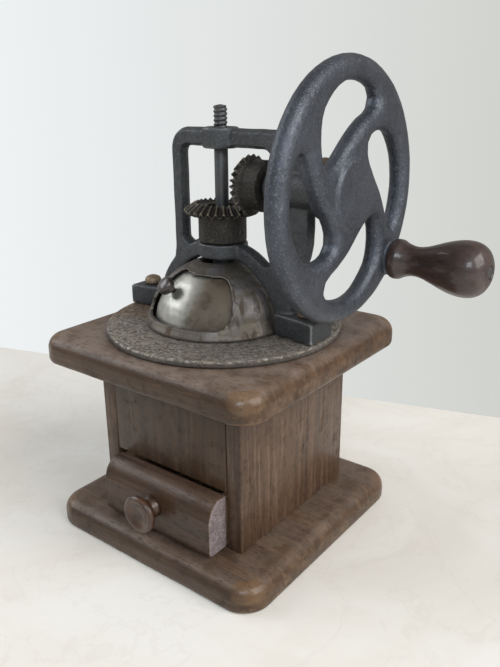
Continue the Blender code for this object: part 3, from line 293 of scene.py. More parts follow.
def walnut(name, grain, seed, dark, mid, light, haze=0.5, gloss=0.24, end=False):
    """Old varnished wood. grain is the axis that it runs along; haze is how grey the top has gone."""
    f = Finish(name, Coat_Roughness=0.2, Specular_IOR_Level=0.3)
    squeeze = tuple(0.055 if a == grain else 1.0 for a in "XYZ")
    pore_squeeze = tuple(0.11 if a == grain else 1.0 for a in "XYZ")
    long = f.place(squeeze, shift=(seed, 2 * seed, 3 * seed))
    plain = f.place(shift=(seed, seed, 0))
    broad = f.noise(long, 0.11, 4.0, 0.55, 0.8)
    bands = f.noise(long, 0.42, 3.0, 0.5, 0.4)
    fibre = f.noise(long, 2.1, 4.0, 0.65)
    pores = f.step(f.noise(f.place(pore_squeeze, shift=(seed, 0, 0)), 2.4, 2.0, 0.5), 0.60, 0.70)
    blotch = f.noise(plain, 0.045, 3.0, 0.6, 0.5)
    grime = f.step(f.noise(plain, 0.16, 5.0, 0.62), 0.50, 0.74)
    colour = f.mix(f.step(broad, 0.34, 0.66), dark, mid)
    colour = f.mix(f.step(bands, 0.50, 0.66) * 0.55, colour, light)
    colour = f.mix(f.step(fibre, 0.46, 0.70) * 0.30, colour, light)
    colour = f.mix(f.step(blotch, 0.46, 0.66) * 0.45, colour, dark)
    up = f.step(f.facing("Z"), 0.35, 0.95)
    grey = f.step(f.noise(plain, 0.07, 5.0, 0.65), 0.30, 0.62)
    colour = f.mix(up * (0.25 + 0.75 * grey) * haze, colour, (0.235, 0.182, 0.150))
    edge = f.attribute("edge")
    rub = f.noise(plain, 0.22, 5.0, 0.65)
    worn = f.step(edge * 0.70 + rub * 0.75, 0.66, 0.98)
    colour = f.mix(worn * 0.65, colour, (0.150, 0.082, 0.034))
    if end:
        # Pale end grain on faces turned to +X only: the wood's dusty end grain, with the light falling on the +X end
        # painted in.
        end_grain_and_painted_light = f.step(f.facing("X"), 0.75, 0.97)
        dust = f.step(f.noise(plain, 0.9, 4.0, 0.65), 0.36, 0.66)
        colour = f.mix(end_grain_and_painted_light * (0.45 + 0.55 * dust), colour, (0.250, 0.215, 0.225))
    # Painted shade: faces turned to -Y are darkened, as the side away from the light.
    painted_front_shade = f.step(0.0 - f.facing("Y"), 0.5, 0.9)
    colour = f.mix(painted_front_shade * 0.35, colour, (0.022, 0.012, 0.007))
    colour = f.mix(grime * 0.35, colour, (0.020, 0.014, 0.011))
    colour = f.mix(pores * 0.75, colour, (0.014, 0.008, 0.005))
    rough = 0.30 + 0.20 * grime + 0.16 * fibre + up * haze * 0.14
    height = fibre * 0.5 - pores * 0.8 + bands * 0.3
    relief = f.bump(height, 0.10, f.bump(f.noise(plain, 0.12, 3.0, 0.5), 0.45))
    shine = (1 - up * haze * 0.6) * (gloss + 0.2 * worn - 0.25 * grime)
    return f.set(Base_Color=colour, Roughness=rough, Coat_Weight=shine, Normal=relief)


def bare_wood(name, grain):
    """The drawer's unvarnished inside, darkened by coffee."""
    f = Finish(name)
    squeeze = tuple(0.05 if a == grain else 1.0 for a in "XYZ")
    long = f.place(squeeze, shift=(3, 9, 2))
    plain = f.place()
    fibre = f.noise(long, 1.4, 5.0, 0.65)
    broad = f.noise(long, 0.15, 3.0, 0.5, 0.6)
    stain = f.step(f.noise(plain, 0.06, 5.0, 0.6), 0.42, 0.66)
    colour = f.mix(f.step(broad, 0.3, 0.7), (0.20, 0.115, 0.062), (0.29, 0.18, 0.10))
    colour = f.mix(f.step(fibre, 0.45, 0.7) * 0.5, colour, (0.14, 0.075, 0.04))
    colour = f.mix(stain * 0.65, colour, (0.055, 0.030, 0.018))
    return f.set(
        Base_Color=colour, Roughness=0.62 + 0.2 * fibre, Normal=f.bump(fibre, 0.12)
    )


def turned_wood(name, grain, dark, mid, light, gloss, rough):
    """Turned and varnished wood, rubbed by hands: fine grain along the axis and faint tool rings round it."""
    f = Finish(name, Coat_Roughness=0.12)
    squeeze = tuple(0.07 if a == grain else 1.0 for a in "XYZ")
    across = tuple(1.0 if a == grain else 0.03 for a in "XYZ")
    long = f.place(squeeze, shift=(7, 4, 1))
    plain = f.place()
    broad = f.noise(long, 0.28, 4.0, 0.6, 0.7)
    fibre = f.noise(long, 2.6, 3.0, 0.6)
    rings = f.noise(f.place(across), 2.2, 2.0, 0.5)
    patch = f.noise(plain, 0.12, 4.0, 0.6)
    colour = f.mix(f.step(broad, 0.32, 0.68), dark, mid)
    colour = f.mix(f.step(fibre, 0.48, 0.72) * 0.5, colour, light)
    colour = f.mix(f.step(patch, 0.52, 0.70) * 0.55, colour, dark)
    height = fibre * 0.4 + rings * 0.5
    return f.set(
        Base_Color=colour,
        Roughness=rough + 0.14 * fibre + 0.10 * patch,
        Coat_Weight=gloss - 0.35 * f.step(patch, 0.45, 0.75),
        Normal=f.bump(height, 0.045, f.bump(patch, 0.25)),
    )


def iron(name, base, bright, rust=0.5, rough=0.40):
    """Old cast iron with a dark blue-grey skin, fine sand-cast bumps, rubbed edges and brown rust in the corners."""
    f = Finish(name)
    plain = f.place()
    grit = f.noise(plain, 1.25, 3.0, 0.6)
    lumps = f.noise(plain, 0.30, 4.0, 0.55)
    patch = f.noise(plain, 0.055, 5.0, 0.62, 0.4)
    edge = f.attribute("edge")
    rub = f.step(edge * 0.9 + grit * 0.35 + patch * 0.3, 0.62, 1.0)
    hollow = f.step(0.0 - edge, 0.10, 0.75)
    brown = f.step(f.noise(plain, 0.17, 6.0, 0.7) + 0.22 * hollow, 0.60, 0.78)
    colour = f.mix(f.step(patch, 0.35, 0.65), base, tuple(1.32 * c for c in base))
    colour = f.mix(f.step(lumps, 0.45, 0.70) * 0.35, colour, tuple(0.62 * c for c in base))
    colour = f.mix(f.step(grit, 0.50, 0.72) * 0.35, colour, bright)
    colour = f.mix(rub * 0.8, colour, bright)
    colour = f.mix(brown * rust, colour, (0.075, 0.040, 0.022))
    # Darker in the hollows, in grit-shaped specks.
    darker_in_hollows = hollow * f.step(grit, 0.35, 0.65)
    colour = f.mix(darker_in_hollows * 0.5, colour, (0.020, 0.016, 0.014))
    return f.set(
        Base_Color=colour,
        Metallic=0.72 - 0.6 * brown * rust,
        Roughness=rough + 0.16 * lumps - 0.08 * rub + 0.30 * brown * rust + 0.08 * (grit - 0.5),
        Normal=f.bump(grit * 0.55 + lumps * 0.8, 0.42, f.bump(patch, 0.5)),
    )


def aged_plate(name):
    """The hopper's thin plating: grey-olive, speckled, with brown stains low down."""
    f = Finish(name)
    plain = f.place()
    speck = f.noise(plain, 1.5, 3.0, 0.65)
    cloud = f.noise(plain, 0.085, 5.0, 0.65, 0.6)
    drips = f.noise(f.place((1.0, 1.0, 0.25)), 0.22, 4.0, 0.6, 0.5)
    pits = f.step(f.noise(plain, 0.75, 4.0, 0.6), 0.60, 0.70)
    edge = f.attribute("edge")
    height = f.part(f.place(), "Z")
    low = 1 - f.step(height, 105.0, 116.0)
    olive, lilac = (0.150, 0.135, 0.105), (0.185, 0.175, 0.178)
    colour = f.mix(f.step(cloud, 0.38, 0.62), olive, lilac)
    colour = f.mix(f.step(drips, 0.50, 0.66) * 0.75, colour, (0.085, 0.062, 0.044))
    colour = f.mix(pits * 0.55, colour, (0.055, 0.046, 0.040))
    colour = f.mix(low * f.step(cloud, 0.40, 0.60) * 0.5, colour, (0.120, 0.080, 0.050))
    rub = f.step(edge * 0.9 + speck * 0.3, 0.45, 0.95)
    colour = f.mix(rub * 0.6, colour, (0.36, 0.35, 0.32))
    return f.set(
        Base_Color=colour,
        Metallic=0.80 - 0.45 * pits,
        Roughness=0.34 + 0.16 * cloud + 0.20 * f.step(drips, 0.50, 0.66) + 0.12 * speck,
        Normal=f.bump(speck * 0.3 - pits * 0.5, 0.09, f.bump(cloud, 0.7)),
    )


def door_plate(name):
    """The hopper door: pale grey-green where hands slide it, brown rust towards its right side."""
    f = Finish(name)
    plain = f.place()
    x = f.part(plain, "X")
    speck = f.noise(plain, 1.3, 4.0, 0.65)
    cloud = f.noise(plain, 0.11, 5.0, 0.62, 0.5)
    rust = f.step(x * 0.060 + cloud * 0.7, 0.15, 0.80)
    deep = rust * f.step(f.noise(plain, 0.13, 5.0, 0.65), 0.42, 0.68)
    colour = f.mix(f.step(cloud, 0.3, 0.7), (0.42, 0.42, 0.38), (0.55, 0.56, 0.52))
    colour = f.mix(rust * 0.92, colour, (0.085, 0.062, 0.036))
    colour = f.mix(deep * 0.75, colour, (0.050, 0.030, 0.018))
    return f.set(
        Base_Color=colour,
        Metallic=0.85 - 0.55 * rust,
        Roughness=0.30 + 0.25 * rust + 0.12 * speck,
        Normal=f.bump(speck * 0.4 + deep * 0.4, 0.10, f.bump(cloud, 0.4)),
    )


def pitted_plate(name):
    """The round plate: worn steel with leaf-shaped dark pitting on top and a bright turned rim."""
    f = Finish(name)
    plain = f.place()
    bent = f.noise(plain, 0.20, 3.0, 0.6)
    leaf = f.noise(plain, 0.26, 6.0, 0.66, 2.2)
    vein = f.cells(f.place((0.9, 0.9, 0.9), shift=(4, 2, 0)), 0.26, "DISTANCE_TO_EDGE")
    specks = f.noise(plain, 1.1, 3.0, 0.6)
    pits = f.step(leaf + 0.10 * bent, 0.50, 0.62)
    fine = f.step(specks, 0.56, 0.68)
    edge = f.attribute("edge")
    x = f.part(plain, "X")
    y = f.part(plain, "Y")
    rusty = f.step(y * 0.010 - x * 0.012 + f.noise(plain, 0.05, 4.0, 0.6), 0.55, 0.95)
    colour = f.mix(f.step(bent, 0.35, 0.65), (0.300, 0.262, 0.212), (0.400, 0.370, 0.330))
    colour = f.mix(rusty * 0.75, colour, (0.290, 0.180, 0.100))
    colour = f.mix(pits * 0.80, colour, (0.052, 0.042, 0.036))
    colour = f.mix(fine * 0.45, colour, (0.045, 0.036, 0.030))
    colour = f.mix((1 - f.step(vein, 0.02, 0.10)) * 0.35, colour, (0.060, 0.048, 0.040))
    rub = f.step(edge, 0.35, 0.9)
    # Painted shade: the plate's upright sides are darkened all round against its top.
    side = 1 - f.step(f.facing("Z"), 0.1, 0.6)
    colour = f.mix(side * 0.75, colour, (0.070, 0.062, 0.055))
    colour = f.mix(rub * 0.7, colour, (0.50, 0.49, 0.47))
    return f.set(
        Base_Color=colour,
        Metallic=0.50 - 0.35 * pits * (1 - rub),
        Roughness=0.38 + 0.22 * pits + 0.12 * specks - 0.14 * rub,
        Normal=f.bump(0.6 - pits * 0.6 - fine * 0.25, 0.22, f.bump(bent, 0.4)),
    )


def dull_steel(name, base, rust, rough=0.42, metal=0.85):
    """Small steel pieces: dull, with scratches and some rust."""
    f = Finish(name)
    plain = f.place()
    grit = f.noise(plain, 1.8, 4.0, 0.65)
    patch = f.noise(plain, 0.35, 5.0, 0.65, 0.5)
    brown = f.step(patch, 0.50, 0.68)
    colour = f.mix(f.step(grit, 0.35, 0.7), base, tuple(1.5 * c for c in base))
    colour = f.mix(brown * rust, colour, (0.115, 0.058, 0.028))
    return f.set(
        Base_Color=colour,
        Metallic=metal - 0.6 * brown * rust,
        Roughness=rough + 0.2 * grit + 0.25 * brown * rust,
        Normal=f.bump(grit, 0.07, f.bump(patch, 0.12)),
    )


def table_top(name):
    """A pale cream marble table: faint warm clouds, a few soft veins and a dull polish."""
    f = Finish(name, Coat_Roughness=0.3)
    plain = f.place()
    cloud = f.noise(plain, 0.009, 5.0, 0.6, 0.8)
    vein = f.noise(plain, 0.016, 5.0, 0.6, 1.4)
    thin = 1 - f.step(vein, 0.485, 0.50)
    thick = f.step(vein, 0.505, 0.53)
    line = 1 - f.node("Math", {"operation": "MAXIMUM"}, {0: thin, 1: thick})
    grain = f.noise(plain, 0.7, 3.0, 0.6)
    colour = f.mix(f.step(cloud, 0.35, 0.65), (0.80, 0.765, 0.70), (0.86, 0.845, 0.80))
    colour = f.mix(line * 0.10, colour, (0.55, 0.50, 0.44))
    colour = f.mix(f.step(grain, 0.5, 0.8) * 0.08, colour, (0.62, 0.57, 0.50))
    return f.set(Base_Color=colour, Roughness=0.42 + 0.14 * cloud, Normal=f.bump(grain, 0.04))


# --- Mesh tools --------------------------------------------------------------


def unevenness(points, size, seed):
    """An aimless smooth height of about -1 to 1: the mean of 14 sine waves in seeded directions, with wavelengths near size."""
    rng = np.random.default_rng(seed)
    wave = rng.normal(size=(14, 3))
    wave *= (2 * math.pi / size) * rng.uniform(0.5, 1.7, (14, 1)) / np.linalg.norm(wave, axis=1, keepdims=True)
    return np.sin(points @ wave.T + rng.uniform(0, 2 * math.pi, 14)).mean(axis=-1) * 2.0


def smooth_rise(low, high, value):
    t = np.clip((value - low) / (high - low), 0, 1)
    return t * t * (3 - 2 * t)


def smooth_line(points, each):
    """A Catmull-Rom curve through the points, with this many steps between two of them."""
    p = np.array(points, float)
    p = np.vstack([2 * p[0] - p[1], p, 2 * p[-1] - p[-2]])
    t = np.linspace(0, 1, each, endpoint=False)[:, None]
    a, b, c, d = (p[i : len(p) - 3 + i, None] for i in range(4))
    curve = 0.5 * (2 * b + (c - a) * t + (2 * a - 5 * b + 4 * c - d) * t**2 + (3 * b - a - 3 * c + d) * t**3)
    return np.vstack([curve.reshape(-1, p.shape[1]), p[-2]])


def surface(name, grid, close_rows=False, close_columns=False, edge=None):
    """A mesh of one quad for each cell of a grid of points in millimetres, with its poles closed and its faces outwards."""
    rows, columns = grid.shape[:2]
    index = np.arange(rows * columns).reshape(rows, columns)
    below, beside = np.roll(index, -1, 0), np.roll(index, -1, 1)
    quads = np.stack([index, below, np.roll(below, -1, 1), beside], -1)
    quads = quads[: rows if close_rows else -1, : columns if close_columns else -1]
    mesh = bpy.data.meshes.new(name)
    mesh.from_pydata((grid.reshape(-1, 3) * MM).tolist(), [], quads.reshape(-1, 4).tolist())
    layer = mesh.attributes.new("edge", "FLOAT", "POINT")
    worn = np.zeros(rows * columns) if edge is None else np.broadcast_to(edge, (rows, columns)).ravel()
    layer.data.foreach_set("value", worn.astype(np.float32))
    bm = bmesh.new()
    bm.from_mesh(mesh)
    bmesh.ops.remove_doubles(bm, verts=bm.verts[:], dist=1e-7)
    bmesh.ops.recalc_face_normals(bm, faces=bm.faces[:])
    bm.to_mesh(mesh)
    bm.free()
    mesh.shade_smooth()
    made = bpy.data.objects.new(name, mesh)
    bpy.context.scene.collection.objects.link(made)
    return made


def lathe(name, profile, around, origin, axis, edge=None, wobble=0.0, closed=True):
    """The (radius, height) line turned round an axis through origin. wobble makes it a little out of round."""
    profile = np.array(profile, float)
    axis = np.array(axis, float) / np.linalg.norm(axis)
    first = np.cross(axis, (0, 0, 1.0) if abs(axis[2]) < 0.9 else (1.0, 0, 0))
    first /= np.linalg.norm(first)
    second = np.cross(axis, first)
    angle = np.linspace(0, 2 * math.pi, around, endpoint=False)[:, None]
    ring = np.cos(angle)[..., None] * first + np.sin(angle)[..., None] * second
    grid = np.array(origin, float) + ring * profile[None, :, :1] + axis * profile[None, :, 1:]
    if wobble:
        grid += ring * (unevenness(grid, 14.0, 5) * wobble * np.minimum(1, profile[:, 0]))[..., None]
    return surface(name, grid, close_rows=True, close_columns=not closed, edge=edge)


def shown_as(piece, node, material):
    """The piece rides with the node's body and stands for that node."""
    piece.data.materials.clear()
    piece.data.materials.append(material)
    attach(piece, nodes[node]["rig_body"])
    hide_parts(node)
    return piece


def around_mean(mesh, values):
    """For each point, the mean of the values at the points joined to it."""
    ends = np.empty(len(mesh.edges) * 2, np.int64)
    mesh.edges.foreach_get("vertices", ends)
    a, b = ends.reshape(-1, 2).T
    count = len(mesh.vertices)
    joined = np.maximum(np.bincount(a, minlength=count) + np.bincount(b, minlength=count), 1)
    columns = values.reshape(count, -1).T
    total = [np.bincount(a, c[b], count) + np.bincount(b, c[a], count) for c in columns]
    return (np.array(total) / joined).T.reshape(values.shape)


def points_of(mesh):
    points = np.empty(len(mesh.vertices) * 3)
    mesh.vertices.foreach_get("co", points)
    return points.reshape(-1, 3) / MM


def normals_of(mesh):
    normals = np.empty(len(mesh.vertices) * 3)
    mesh.vertex_normals.foreach_get("vector", normals)
    return normals.reshape(-1, 3)


def set_points(mesh, points):
    mesh.vertices.foreach_set("co", (points * MM).ravel())
    mesh.update()


def mark_edges(mesh, grid, spread=3):
    """Stores how sharply the surface turns at each point, 1 on an outer edge and -1 in a corner, as the attribute edge."""
    points, normals = points_of(mesh), normals_of(mesh)
    bend = ((points - around_mean(mesh, points)) * normals).sum(1) / grid
    for _ in range(spread):
        bend = 0.4 * bend + 0.6 * around_mean(mesh, bend)
    layer = mesh.attributes.new("edge", "FLOAT", "POINT")
    layer.data.foreach_set("value", np.clip(bend * 7.0, -1, 1).astype(np.float32))


def recast(node, name, grid, rounds, dents=0.0, dent_size=9.0, shape=None):
    """A copy of a CAD piece on a fine even mesh, its edges rounded by this many smoothing rounds and its faces a little uneven."""
    copy = bpy.data.objects.new(name, nodes[node].data.copy())
    copy.data.name = name
    copy.data.materials.clear()
    bpy.context.scene.collection.objects.link(copy)
    bm = bmesh.new()
    bm.from_mesh(copy.data)
    bmesh.ops.remove_doubles(bm, verts=bm.verts[:], dist=2e-7)
    bm.to_mesh(copy.data)
    bm.free()
    fine = copy.modifiers.new("fine", "REMESH")
    fine.mode = "VOXEL"
    fine.voxel_size = grid * MM
    fine.use_smooth_shade = True
    bpy.context.view_layer.update()
    mesh = bpy.data.meshes.new_from_object(copy.evaluated_get(bpy.context.evaluated_depsgraph_get()))
    copy.modifiers.clear()
    copy.data = mesh
    points = points_of(mesh)
    for turn in range(rounds):
        points = 0.5 * points + 0.5 * around_mean(mesh, points)
        if turn % 3 == 2:
            points = 1.5 * points - 0.5 * around_mean(mesh, points)
    set_points(mesh, points)
    mark_edges(mesh, grid)
    if dents or shape:
        points, normals = points_of(mesh), normals_of(mesh)
        if dents:
            points = points + normals * (dents * unevenness(points, dent_size, 11))[:, None]
        if shape:
            points = shape(points, normals)
        set_points(mesh, points)
    mesh.shade_smooth()
    return copy


def eased(node, name, width, angle=28.0):
    """A copy of a CAD piece with its doubles merged, its sharp edges bevelled and its curved faces smooth."""
    copy = bpy.data.objects.new(name, nodes[node].data.copy())
    copy.data.name = name
    copy.data.materials.clear()
    bpy.context.scene.collection.objects.link(copy)
    bm = bmesh.new()
    bm.from_mesh(copy.data)
    bmesh.ops.remove_doubles(bm, verts=bm.verts[:], dist=2e-7)
    bmesh.ops.dissolve_limit(bm, angle_limit=math.radians(0.6), verts=bm.verts[:], edges=bm.edges[:])
    bm.to_mesh(copy.data)
    bm.free()
    if width:
        bevel = copy.modifiers.new("eased", "BEVEL")
        bevel.width = width * MM
        bevel.segments = 2
        bevel.limit_method = "ANGLE"
        bevel.angle_limit = math.radians(angle)
        bevel.harden_normals = False
    bpy.context.view_layer.update()
    mesh = bpy.data.meshes.new_from_object(copy.evaluated_get(bpy.context.evaluated_depsgraph_get()))
    copy.modifiers.clear()
    copy.data = mesh
    mesh.shade_smooth()
    mesh.set_sharp_from_angle(angle=math.radians(angle + 12))
    return copy


# --- Wooden case ---------------------------------------------------------------

BOARD_HALF = 63.5
BOARD_CORNER = 13.0
BOARD_THICK = 12.7
TOP_HEIGHT = 101.6
EDGE_CURVE = [(0.05, 1.7), (0.05, 6.4), (0.45, 8.4), (1.35, 10.2), (2.75, 11.55), (4.4, 12.3)]


def board(name, floor, hole):
    """A square board: the outline is a square with round corners, carried along the edge's section and in to a round hole.

    A point of the outline is its corner's centre plus the corner radius less the inset; the inset and height come from the section."""
    angle = np.linspace(0, math.pi / 2, 15)
    corner = np.concatenate([angle + quarter * math.pi / 2 for quarter in range(4)])
    sign = np.repeat([[1, 1], [-1, 1], [-1, -1], [1, -1]], 15, axis=0)
    out = np.stack([np.cos(corner), np.sin(corner)], 1)
    middle = (BOARD_HALF - BOARD_CORNER) * sign
    along = np.linspace(0, 1, 25)[1:-1, None]
    rows_m, rows_o, rows_c = [], [], []
    for quarter in range(4):
        here = slice(15 * quarter, 15 * quarter + 15)
        nxt = 15 * ((quarter + 1) % 4)
        rows_m += [middle[here], middle[15 * quarter + 14] * (1 - along) + middle[nxt] * along]
        rows_o += [out[here], np.repeat(out[15 * quarter + 14][None], 23, 0)]
        bulge = np.sin(angle * 2)
        rows_c += [bulge, np.zeros(23)]
    middle, out, corners = np.concatenate(rows_m), np.concatenate(rows_o), np.concatenate(rows_c)
    section = [(2.0, 0.0), (1.2, 0.08), (0.5, 0.5), *smooth_line(EDGE_CURVE, 4), (5.2, 12.6), (6.2, 12.69), (7.6, 12.7)]
    section = np.array([(30.0, 0.0)] + section + [(30.0, 12.7)], float)
    inset, height = section.T
    reach = np.maximum(BOARD_CORNER - inset, 0.0)
    flat = middle[:, None] + out[:, None] * reach[None, :, None]
    ring = flat / np.linalg.norm(flat, axis=2, keepdims=True) * hole
    far = inset >= 30.0
    flat[:, far] = ring[:, far]
    top = np.linspace(0, 1, 9)[1:-1, None]
    first = flat[:, :1] * (1 - top.T[..., None]) + flat[:, 1:2] * top.T[..., None]
    last = flat[:, -2:-1] * (1 - top.T[..., None]) + flat[:, -1:] * top.T[..., None]
    flat = np.concatenate([flat[:, :1], first, flat[:, 1:-1], last, flat[:, -1:]], 1)
    height = np.concatenate([[0.0] * 8, height[1:-1], [12.7] * 8])
    rise = np.broadcast_to(height + floor, flat.shape[:2])
    grid = np.concatenate([flat, rise[..., None]], 2)
    rim = np.concatenate([[0.0] * 8, np.ones(len(section) - 2), [0.0] * 8])
    outward = np.concatenate([out[:, None] * rim[None, :, None], np.zeros((*grid.shape[:2], 1))], 2)
    dent = unevenness(grid, 26.0, 3) * 0.16 + unevenness(grid, 7.0, 4) * 0.07
    grid = grid - outward * np.maximum(dent + 0.10 * corners[:, None], 0)[..., None]
    upper = np.concatenate([np.zeros(8), smooth_rise(3.0, 8.0, section[1:-1, 1]) * (section[1:-1, 1] < 12.65), np.zeros(8)])
    lower = np.concatenate([np.zeros(8), (section[1:-1, 1] < 1.2) * 0.7, np.zeros(8)])
    edge = (0.35 + 0.75 * corners[:, None]) * (0.35 * rim + 0.75 * upper + lower)
    return surface(name, grid, close_rows=True, close_columns=True, edge=edge)


DARK, MID, LIGHT = (0.044, 0.022, 0.010), (0.088, 0.046, 0.022), (0.150, 0.086, 0.044)


def make_case():
    top = walnut("walnut_top_board", "X", 3.0, DARK, MID, LIGHT, haze=0.75)
    foot = walnut("walnut_base_board", "X", 41.0, DARK, MID, LIGHT, haze=0.40)
    # The sides and the front are one walnut in two copies: the sides' colours are lighter, painted light of the lit
    # right side, and the front's darker, painted shade of the face turned from the light.
    side = walnut("walnut_sides_lit", "Z", 17.0, (0.052, 0.028, 0.016), (0.098, 0.056, 0.033), (0.165, 0.104, 0.068))
    front = walnut("walnut_front_shaded", "Z", 29.0, (0.034, 0.017, 0.008), (0.066, 0.034, 0.016), (0.112, 0.064, 0.034))
    floor_z = TOP_HEIGHT - BOARD_THICK
    shown_as(board("base_board_worn", 0.0, 20.0), "base_board", foot)
    shown_as(board("top_board_worn", floor_z, 26.0), "top_board", top)
    for node, finish in (
        ("box_left_side", side),
        ("box_right_side", side),
        ("box_front_panel", front),
        ("box_back_panel", side),
    ):
        shown_as(eased(node, node + "_worn", 0.3), node, finish)


def make_drawer():
    front = walnut("walnut_drawer", "X", 57.0, (0.032, 0.015, 0.008), (0.064, 0.031, 0.015), (0.105, 0.055, 0.028), haze=0.2, end=True)
    shown_as(recast("drawer_front", "drawer_front_worn", 0.5, 5, 0.09, 17.0), "drawer_front", front)
    inside = bare_wood("bare_drawer_wood", "Y")
    across = bare_wood("bare_back_wood", "X")
    for node, finish in (
        ("drawer_left_side", inside),
        ("drawer_right_side", inside),
        ("drawer_bottom", inside),
        ("drawer_back", across),
    ):
        shown_as(eased(node, node + "_eased", 0.4), node, finish)
    turned = turned_wood("turned_knob_wood", "Y", (0.024, 0.009, 0.004), (0.062, 0.026, 0.010), (0.115, 0.050, 0.019), 0.45, 0.34)
    base = 55.85
    outline = [(5.6, 0.0), (5.3, 1.2), (4.7, 2.6), (4.9, 3.9), (6.4, 5.0), (8.3, 6.1), (9.1, 7.2), (9.0, 8.3), (8.3, 9.2), (7.4, 9.55), (6.4, 9.35), (5.4, 8.75), (4.2, 8.2), (2.4, 7.9), (0.0, 7.8)]
    profile = np.vstack([[0.0, 0.0], smooth_line(outline, 5)])
    knob = lathe("drawer_knob_turned", profile, 64, (0, -base, 28.2), (0, -1, 0), wobble=0.05)
    shown_as(knob, "drawer_knob", turned)
    nodes["drawer_knob_screw"].data.materials[0] = dull_steel("knob_screw_steel", (0.10, 0.09, 0.08), 0.6)


# --- Ironwork ------------------------------------------------------------------


def make_iron():
    skin = iron("cast_iron_frame", (0.058, 0.063, 0.068), (0.23, 0.235, 0.24), rust=0.55)
    wheel_skin = iron("cast_iron_wheel", (0.060, 0.067, 0.082), (0.26, 0.272, 0.30), rust=0.35, rough=0.36)
    dark = iron("gear_iron", (0.030, 0.028, 0.026), (0.210, 0.180, 0.130), rust=0.40, rough=0.44)
    shown_as(recast("bridge_frame", "bridge_cast", 0.55, 5, 0.10, 12.0), "bridge_frame", skin)
    shown_as(recast("hand_wheel", "wheel_cast", 0.50, 4, 0.10, 13.0), "hand_wheel", wheel_skin)
    shown_as(recast("crown_gear", "crown_gear_cast", 0.30, 2, 0.03, 5.0), "crown_gear", dark)
    shown_as(recast("pinion_gear", "pinion_gear_cast", 0.28, 2, 0.03, 5.0), "pinion_gear", dark)
    rod = dull_steel("spindle_steel", (0.075, 0.078, 0.082), 0.45, rough=0.36)
    for node in ("spindle", "crank_shaft", "crown_pin", "pinion_pin", "spindle_collar"):
        shown_as(eased(node, node + "_worn", 0.0, 30.0), node, rod)
    rusty = dull_steel("rusty_screw", (0.14, 0.10, 0.07), 0.9, 0.5, 0.6)
    shown_as(eased("wheel_set_screw", "wheel_set_screw_rusty", 0.3), "wheel_set_screw", rusty)
    shown_as(eased("handle_bolt", "handle_bolt_worn", 0.25), "handle_bolt", rod)
    burr = dull_steel("burr_steel", (0.16, 0.15, 0.14), 0.3)
    for node in ("inner_burr", "outer_burr", "burr_bracket", "bracket_screw_front", "bracket_screw_back"):
        nodes[node].data.materials[0] = burr
    for n in (1, 2, 3, 4):
        nodes[f"base_screw_{n}"].data.materials[0] = rod
        nodes[f"top_nail_{n}"].data.materials[0] = rod
    tan = dull_steel("tarnished_screw", (0.20, 0.150, 0.105), 0.35, 0.42, 0.7)
    for node in ("frame_screw_left", "frame_screw_right"):
        shown_as(eased(node, node + "_worn", 0.3), node, tan)


# --- Plate and hopper ----------------------------------------------------------

DOME_CENTRE = (-1.98, -1.52, 104.6)
OPENING = [
    (0, 109.7), (13, 109.6), (26, 109.6), (36, 109.8), (44, 110.6), (49, 112.6), (51.5, 115.5),
    (53, 120.0), (53.8, 124.5), (53, 127.5), (49.5, 129.3), (43, 130.0), (30, 130.2), (15, 130.4),
    (0, 130.5), (-10, 130.8), (-20, 131.2), (-28, 131.3), (-34, 130.4), (-40, 128.2), (-45, 124.5),
    (-49, 119.5), (-52, 115.0), (-52, 112.3), (-48, 110.6), (-40, 109.9), (-26, 109.6), (-13, 109.6),
]


def gap_to_opening(points):
    """How far each point lies from the opening's outline, measured over the dome: azimuth times radius across, height up."""
    loop = np.array(OPENING + OPENING[:1], float)
    loop = np.vstack([a + (b - a) * np.linspace(0, 1, 10, endpoint=False)[:, None] for a, b in zip(loop, loop[1:])])
    x, y = points[:, 0] - DOME_CENTRE[0], points[:, 1] - DOME_CENTRE[1]
    azimuth, reach = np.degrees(np.arctan2(x, -y)), np.hypot(x, y)
    nearest = np.full(len(points), 1e9)
    for a, z in loop:
        across = np.radians(azimuth - a) * reach
        nearest = np.minimum(nearest, np.hypot(across, (points[:, 2] - z) * 1.35))
    return nearest


def raised_lip(points, normals):
    """The rolled bead round the opening: the outer face swells by a bell curve of the distance to the outline."""
    away = gap_to_opening(points)
    outward = points - DOME_CENTRE
    outward /= np.linalg.norm(outward, axis=1, keepdims=True)
    outer = np.clip((normals * outward).sum(1), 0, 1)
    swell = 0.42 * np.exp(-((away / 1.0) ** 2)) + 0.16 * np.exp(-((away / 2.4) ** 2))
    return points + outward * (swell * (0.35 + 0.65 * outer))[:, None]


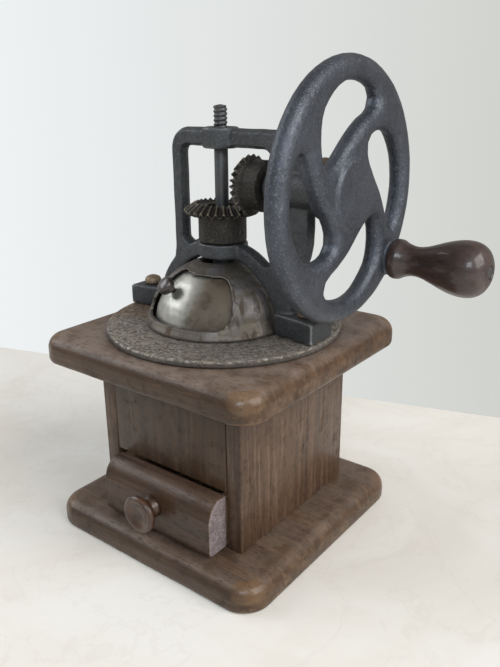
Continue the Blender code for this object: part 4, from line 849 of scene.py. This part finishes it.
def make_hopper():
    plate = pitted_plate("pitted_plate")
    z0, z1 = 101.9, 104.9
    line = [(20.0, z0), (55.8, z0), (56.35, z0 + 0.25), (56.5, z0 + 0.8), (56.5, z1 - 1.0), (56.3, z1 - 0.42), (55.85, z1 - 0.10), (55.2, z1 - 0.02), (54.4, z1)]
    line += [(r, z1) for r in (53.0, 50.0, 45.0, 40.0, 35.0, 30.0, 25.0, 20.0)]
    worn = np.zeros(len(line))
    worn[6:8] = (0.55, 0.35)
    shown_as(lathe("flange_plate_worn", line, 160, (0, 0, 0), (0, 0, 1), edge=worn, closed=False), "flange_plate", plate)
    dome = recast("hopper_dome", "hopper_dome_beaded", 0.42, 7, 0.10, 12.0, raised_lip)
    shown_as(dome, "hopper_dome", aged_plate("dome_plating"))
    door = recast("hopper_door", "hopper_door_worn", 0.42, 6, 0.07, 13.0)
    shown_as(door, "hopper_door", door_plate("door_plating"))
    knob = eased("door_knob", "door_knob_worn", 0.3)
    shown_as(knob, "door_knob", turned_wood("door_knob_black", "Z", (0.014, 0.010, 0.010), (0.032, 0.022, 0.022), (0.060, 0.038, 0.030), 0.8, 0.25))


# --- Handle --------------------------------------------------------------------


def make_handle():
    """The turned grip: a collar at the wheel, a narrow neck and a long egg."""
    low, high = (np.array(c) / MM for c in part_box("handle_grip"))
    centre = (0.0, (low[1] + high[1]) / 2, (low[2] + high[2]) / 2)
    largest = 12.2
    outline = np.array([
        (0.0, 0.70), (0.03, 0.735), (0.08, 0.72), (0.13, 0.63), (0.20, 0.555), (0.27, 0.545), (0.35, 0.60),
        (0.44, 0.71), (0.53, 0.83), (0.62, 0.93), (0.70, 0.985), (0.77, 1.0), (0.84, 0.965), (0.90, 0.87),
        (0.945, 0.73), (0.98, 0.52), (0.993, 0.36),
    ])
    curve = smooth_line(outline, 5)
    length = high[0] - low[0]
    profile = np.stack([curve[:, 1] * largest, low[0] + curve[:, 0] * length], 1)
    hole = [(3.4, high[0] - 0.05), (3.0, high[0] - 0.5), (2.9, high[0] - 2.4), (0.0, high[0] - 2.4)]
    profile = np.vstack([[0.0, low[0]], profile, hole])
    grip = lathe("handle_grip_turned", profile, 72, centre, (1, 0, 0), wobble=0.06)
    finish = turned_wood("handle_wood", "X", (0.018, 0.009, 0.007), (0.042, 0.020, 0.015), (0.085, 0.045, 0.034), 0.55, 0.34)
    shown_as(grip, "handle_grip", finish)


def make_table():
    """A flat table top that ends in a straight line behind the mill."""
    back = np.array([(-1500.0, 73.0 + 0.311 * (-1500.0 + 288.0)), (1500.0, 73.0 + 0.311 * (1500.0 + 288.0))])
    front = np.array([(-1500.0, -1500.0), (1500.0, -1500.0)])
    share = np.linspace(0, 1, 12)[:, None, None]
    grid = front[None] * (1 - share) + back[None] * share
    grid = np.concatenate([grid, np.full((12, 2, 1), -0.05)], 2)
    table = surface("table_top", grid)
    table.data.materials.append(table_top("cream_marble"))
    if table.data.polygons[0].normal.z < 0:
        table.data.flip_normals()


make_camera()
make_light()
make_case()
make_drawer()
make_iron()
make_hopper()
make_handle()
make_table()
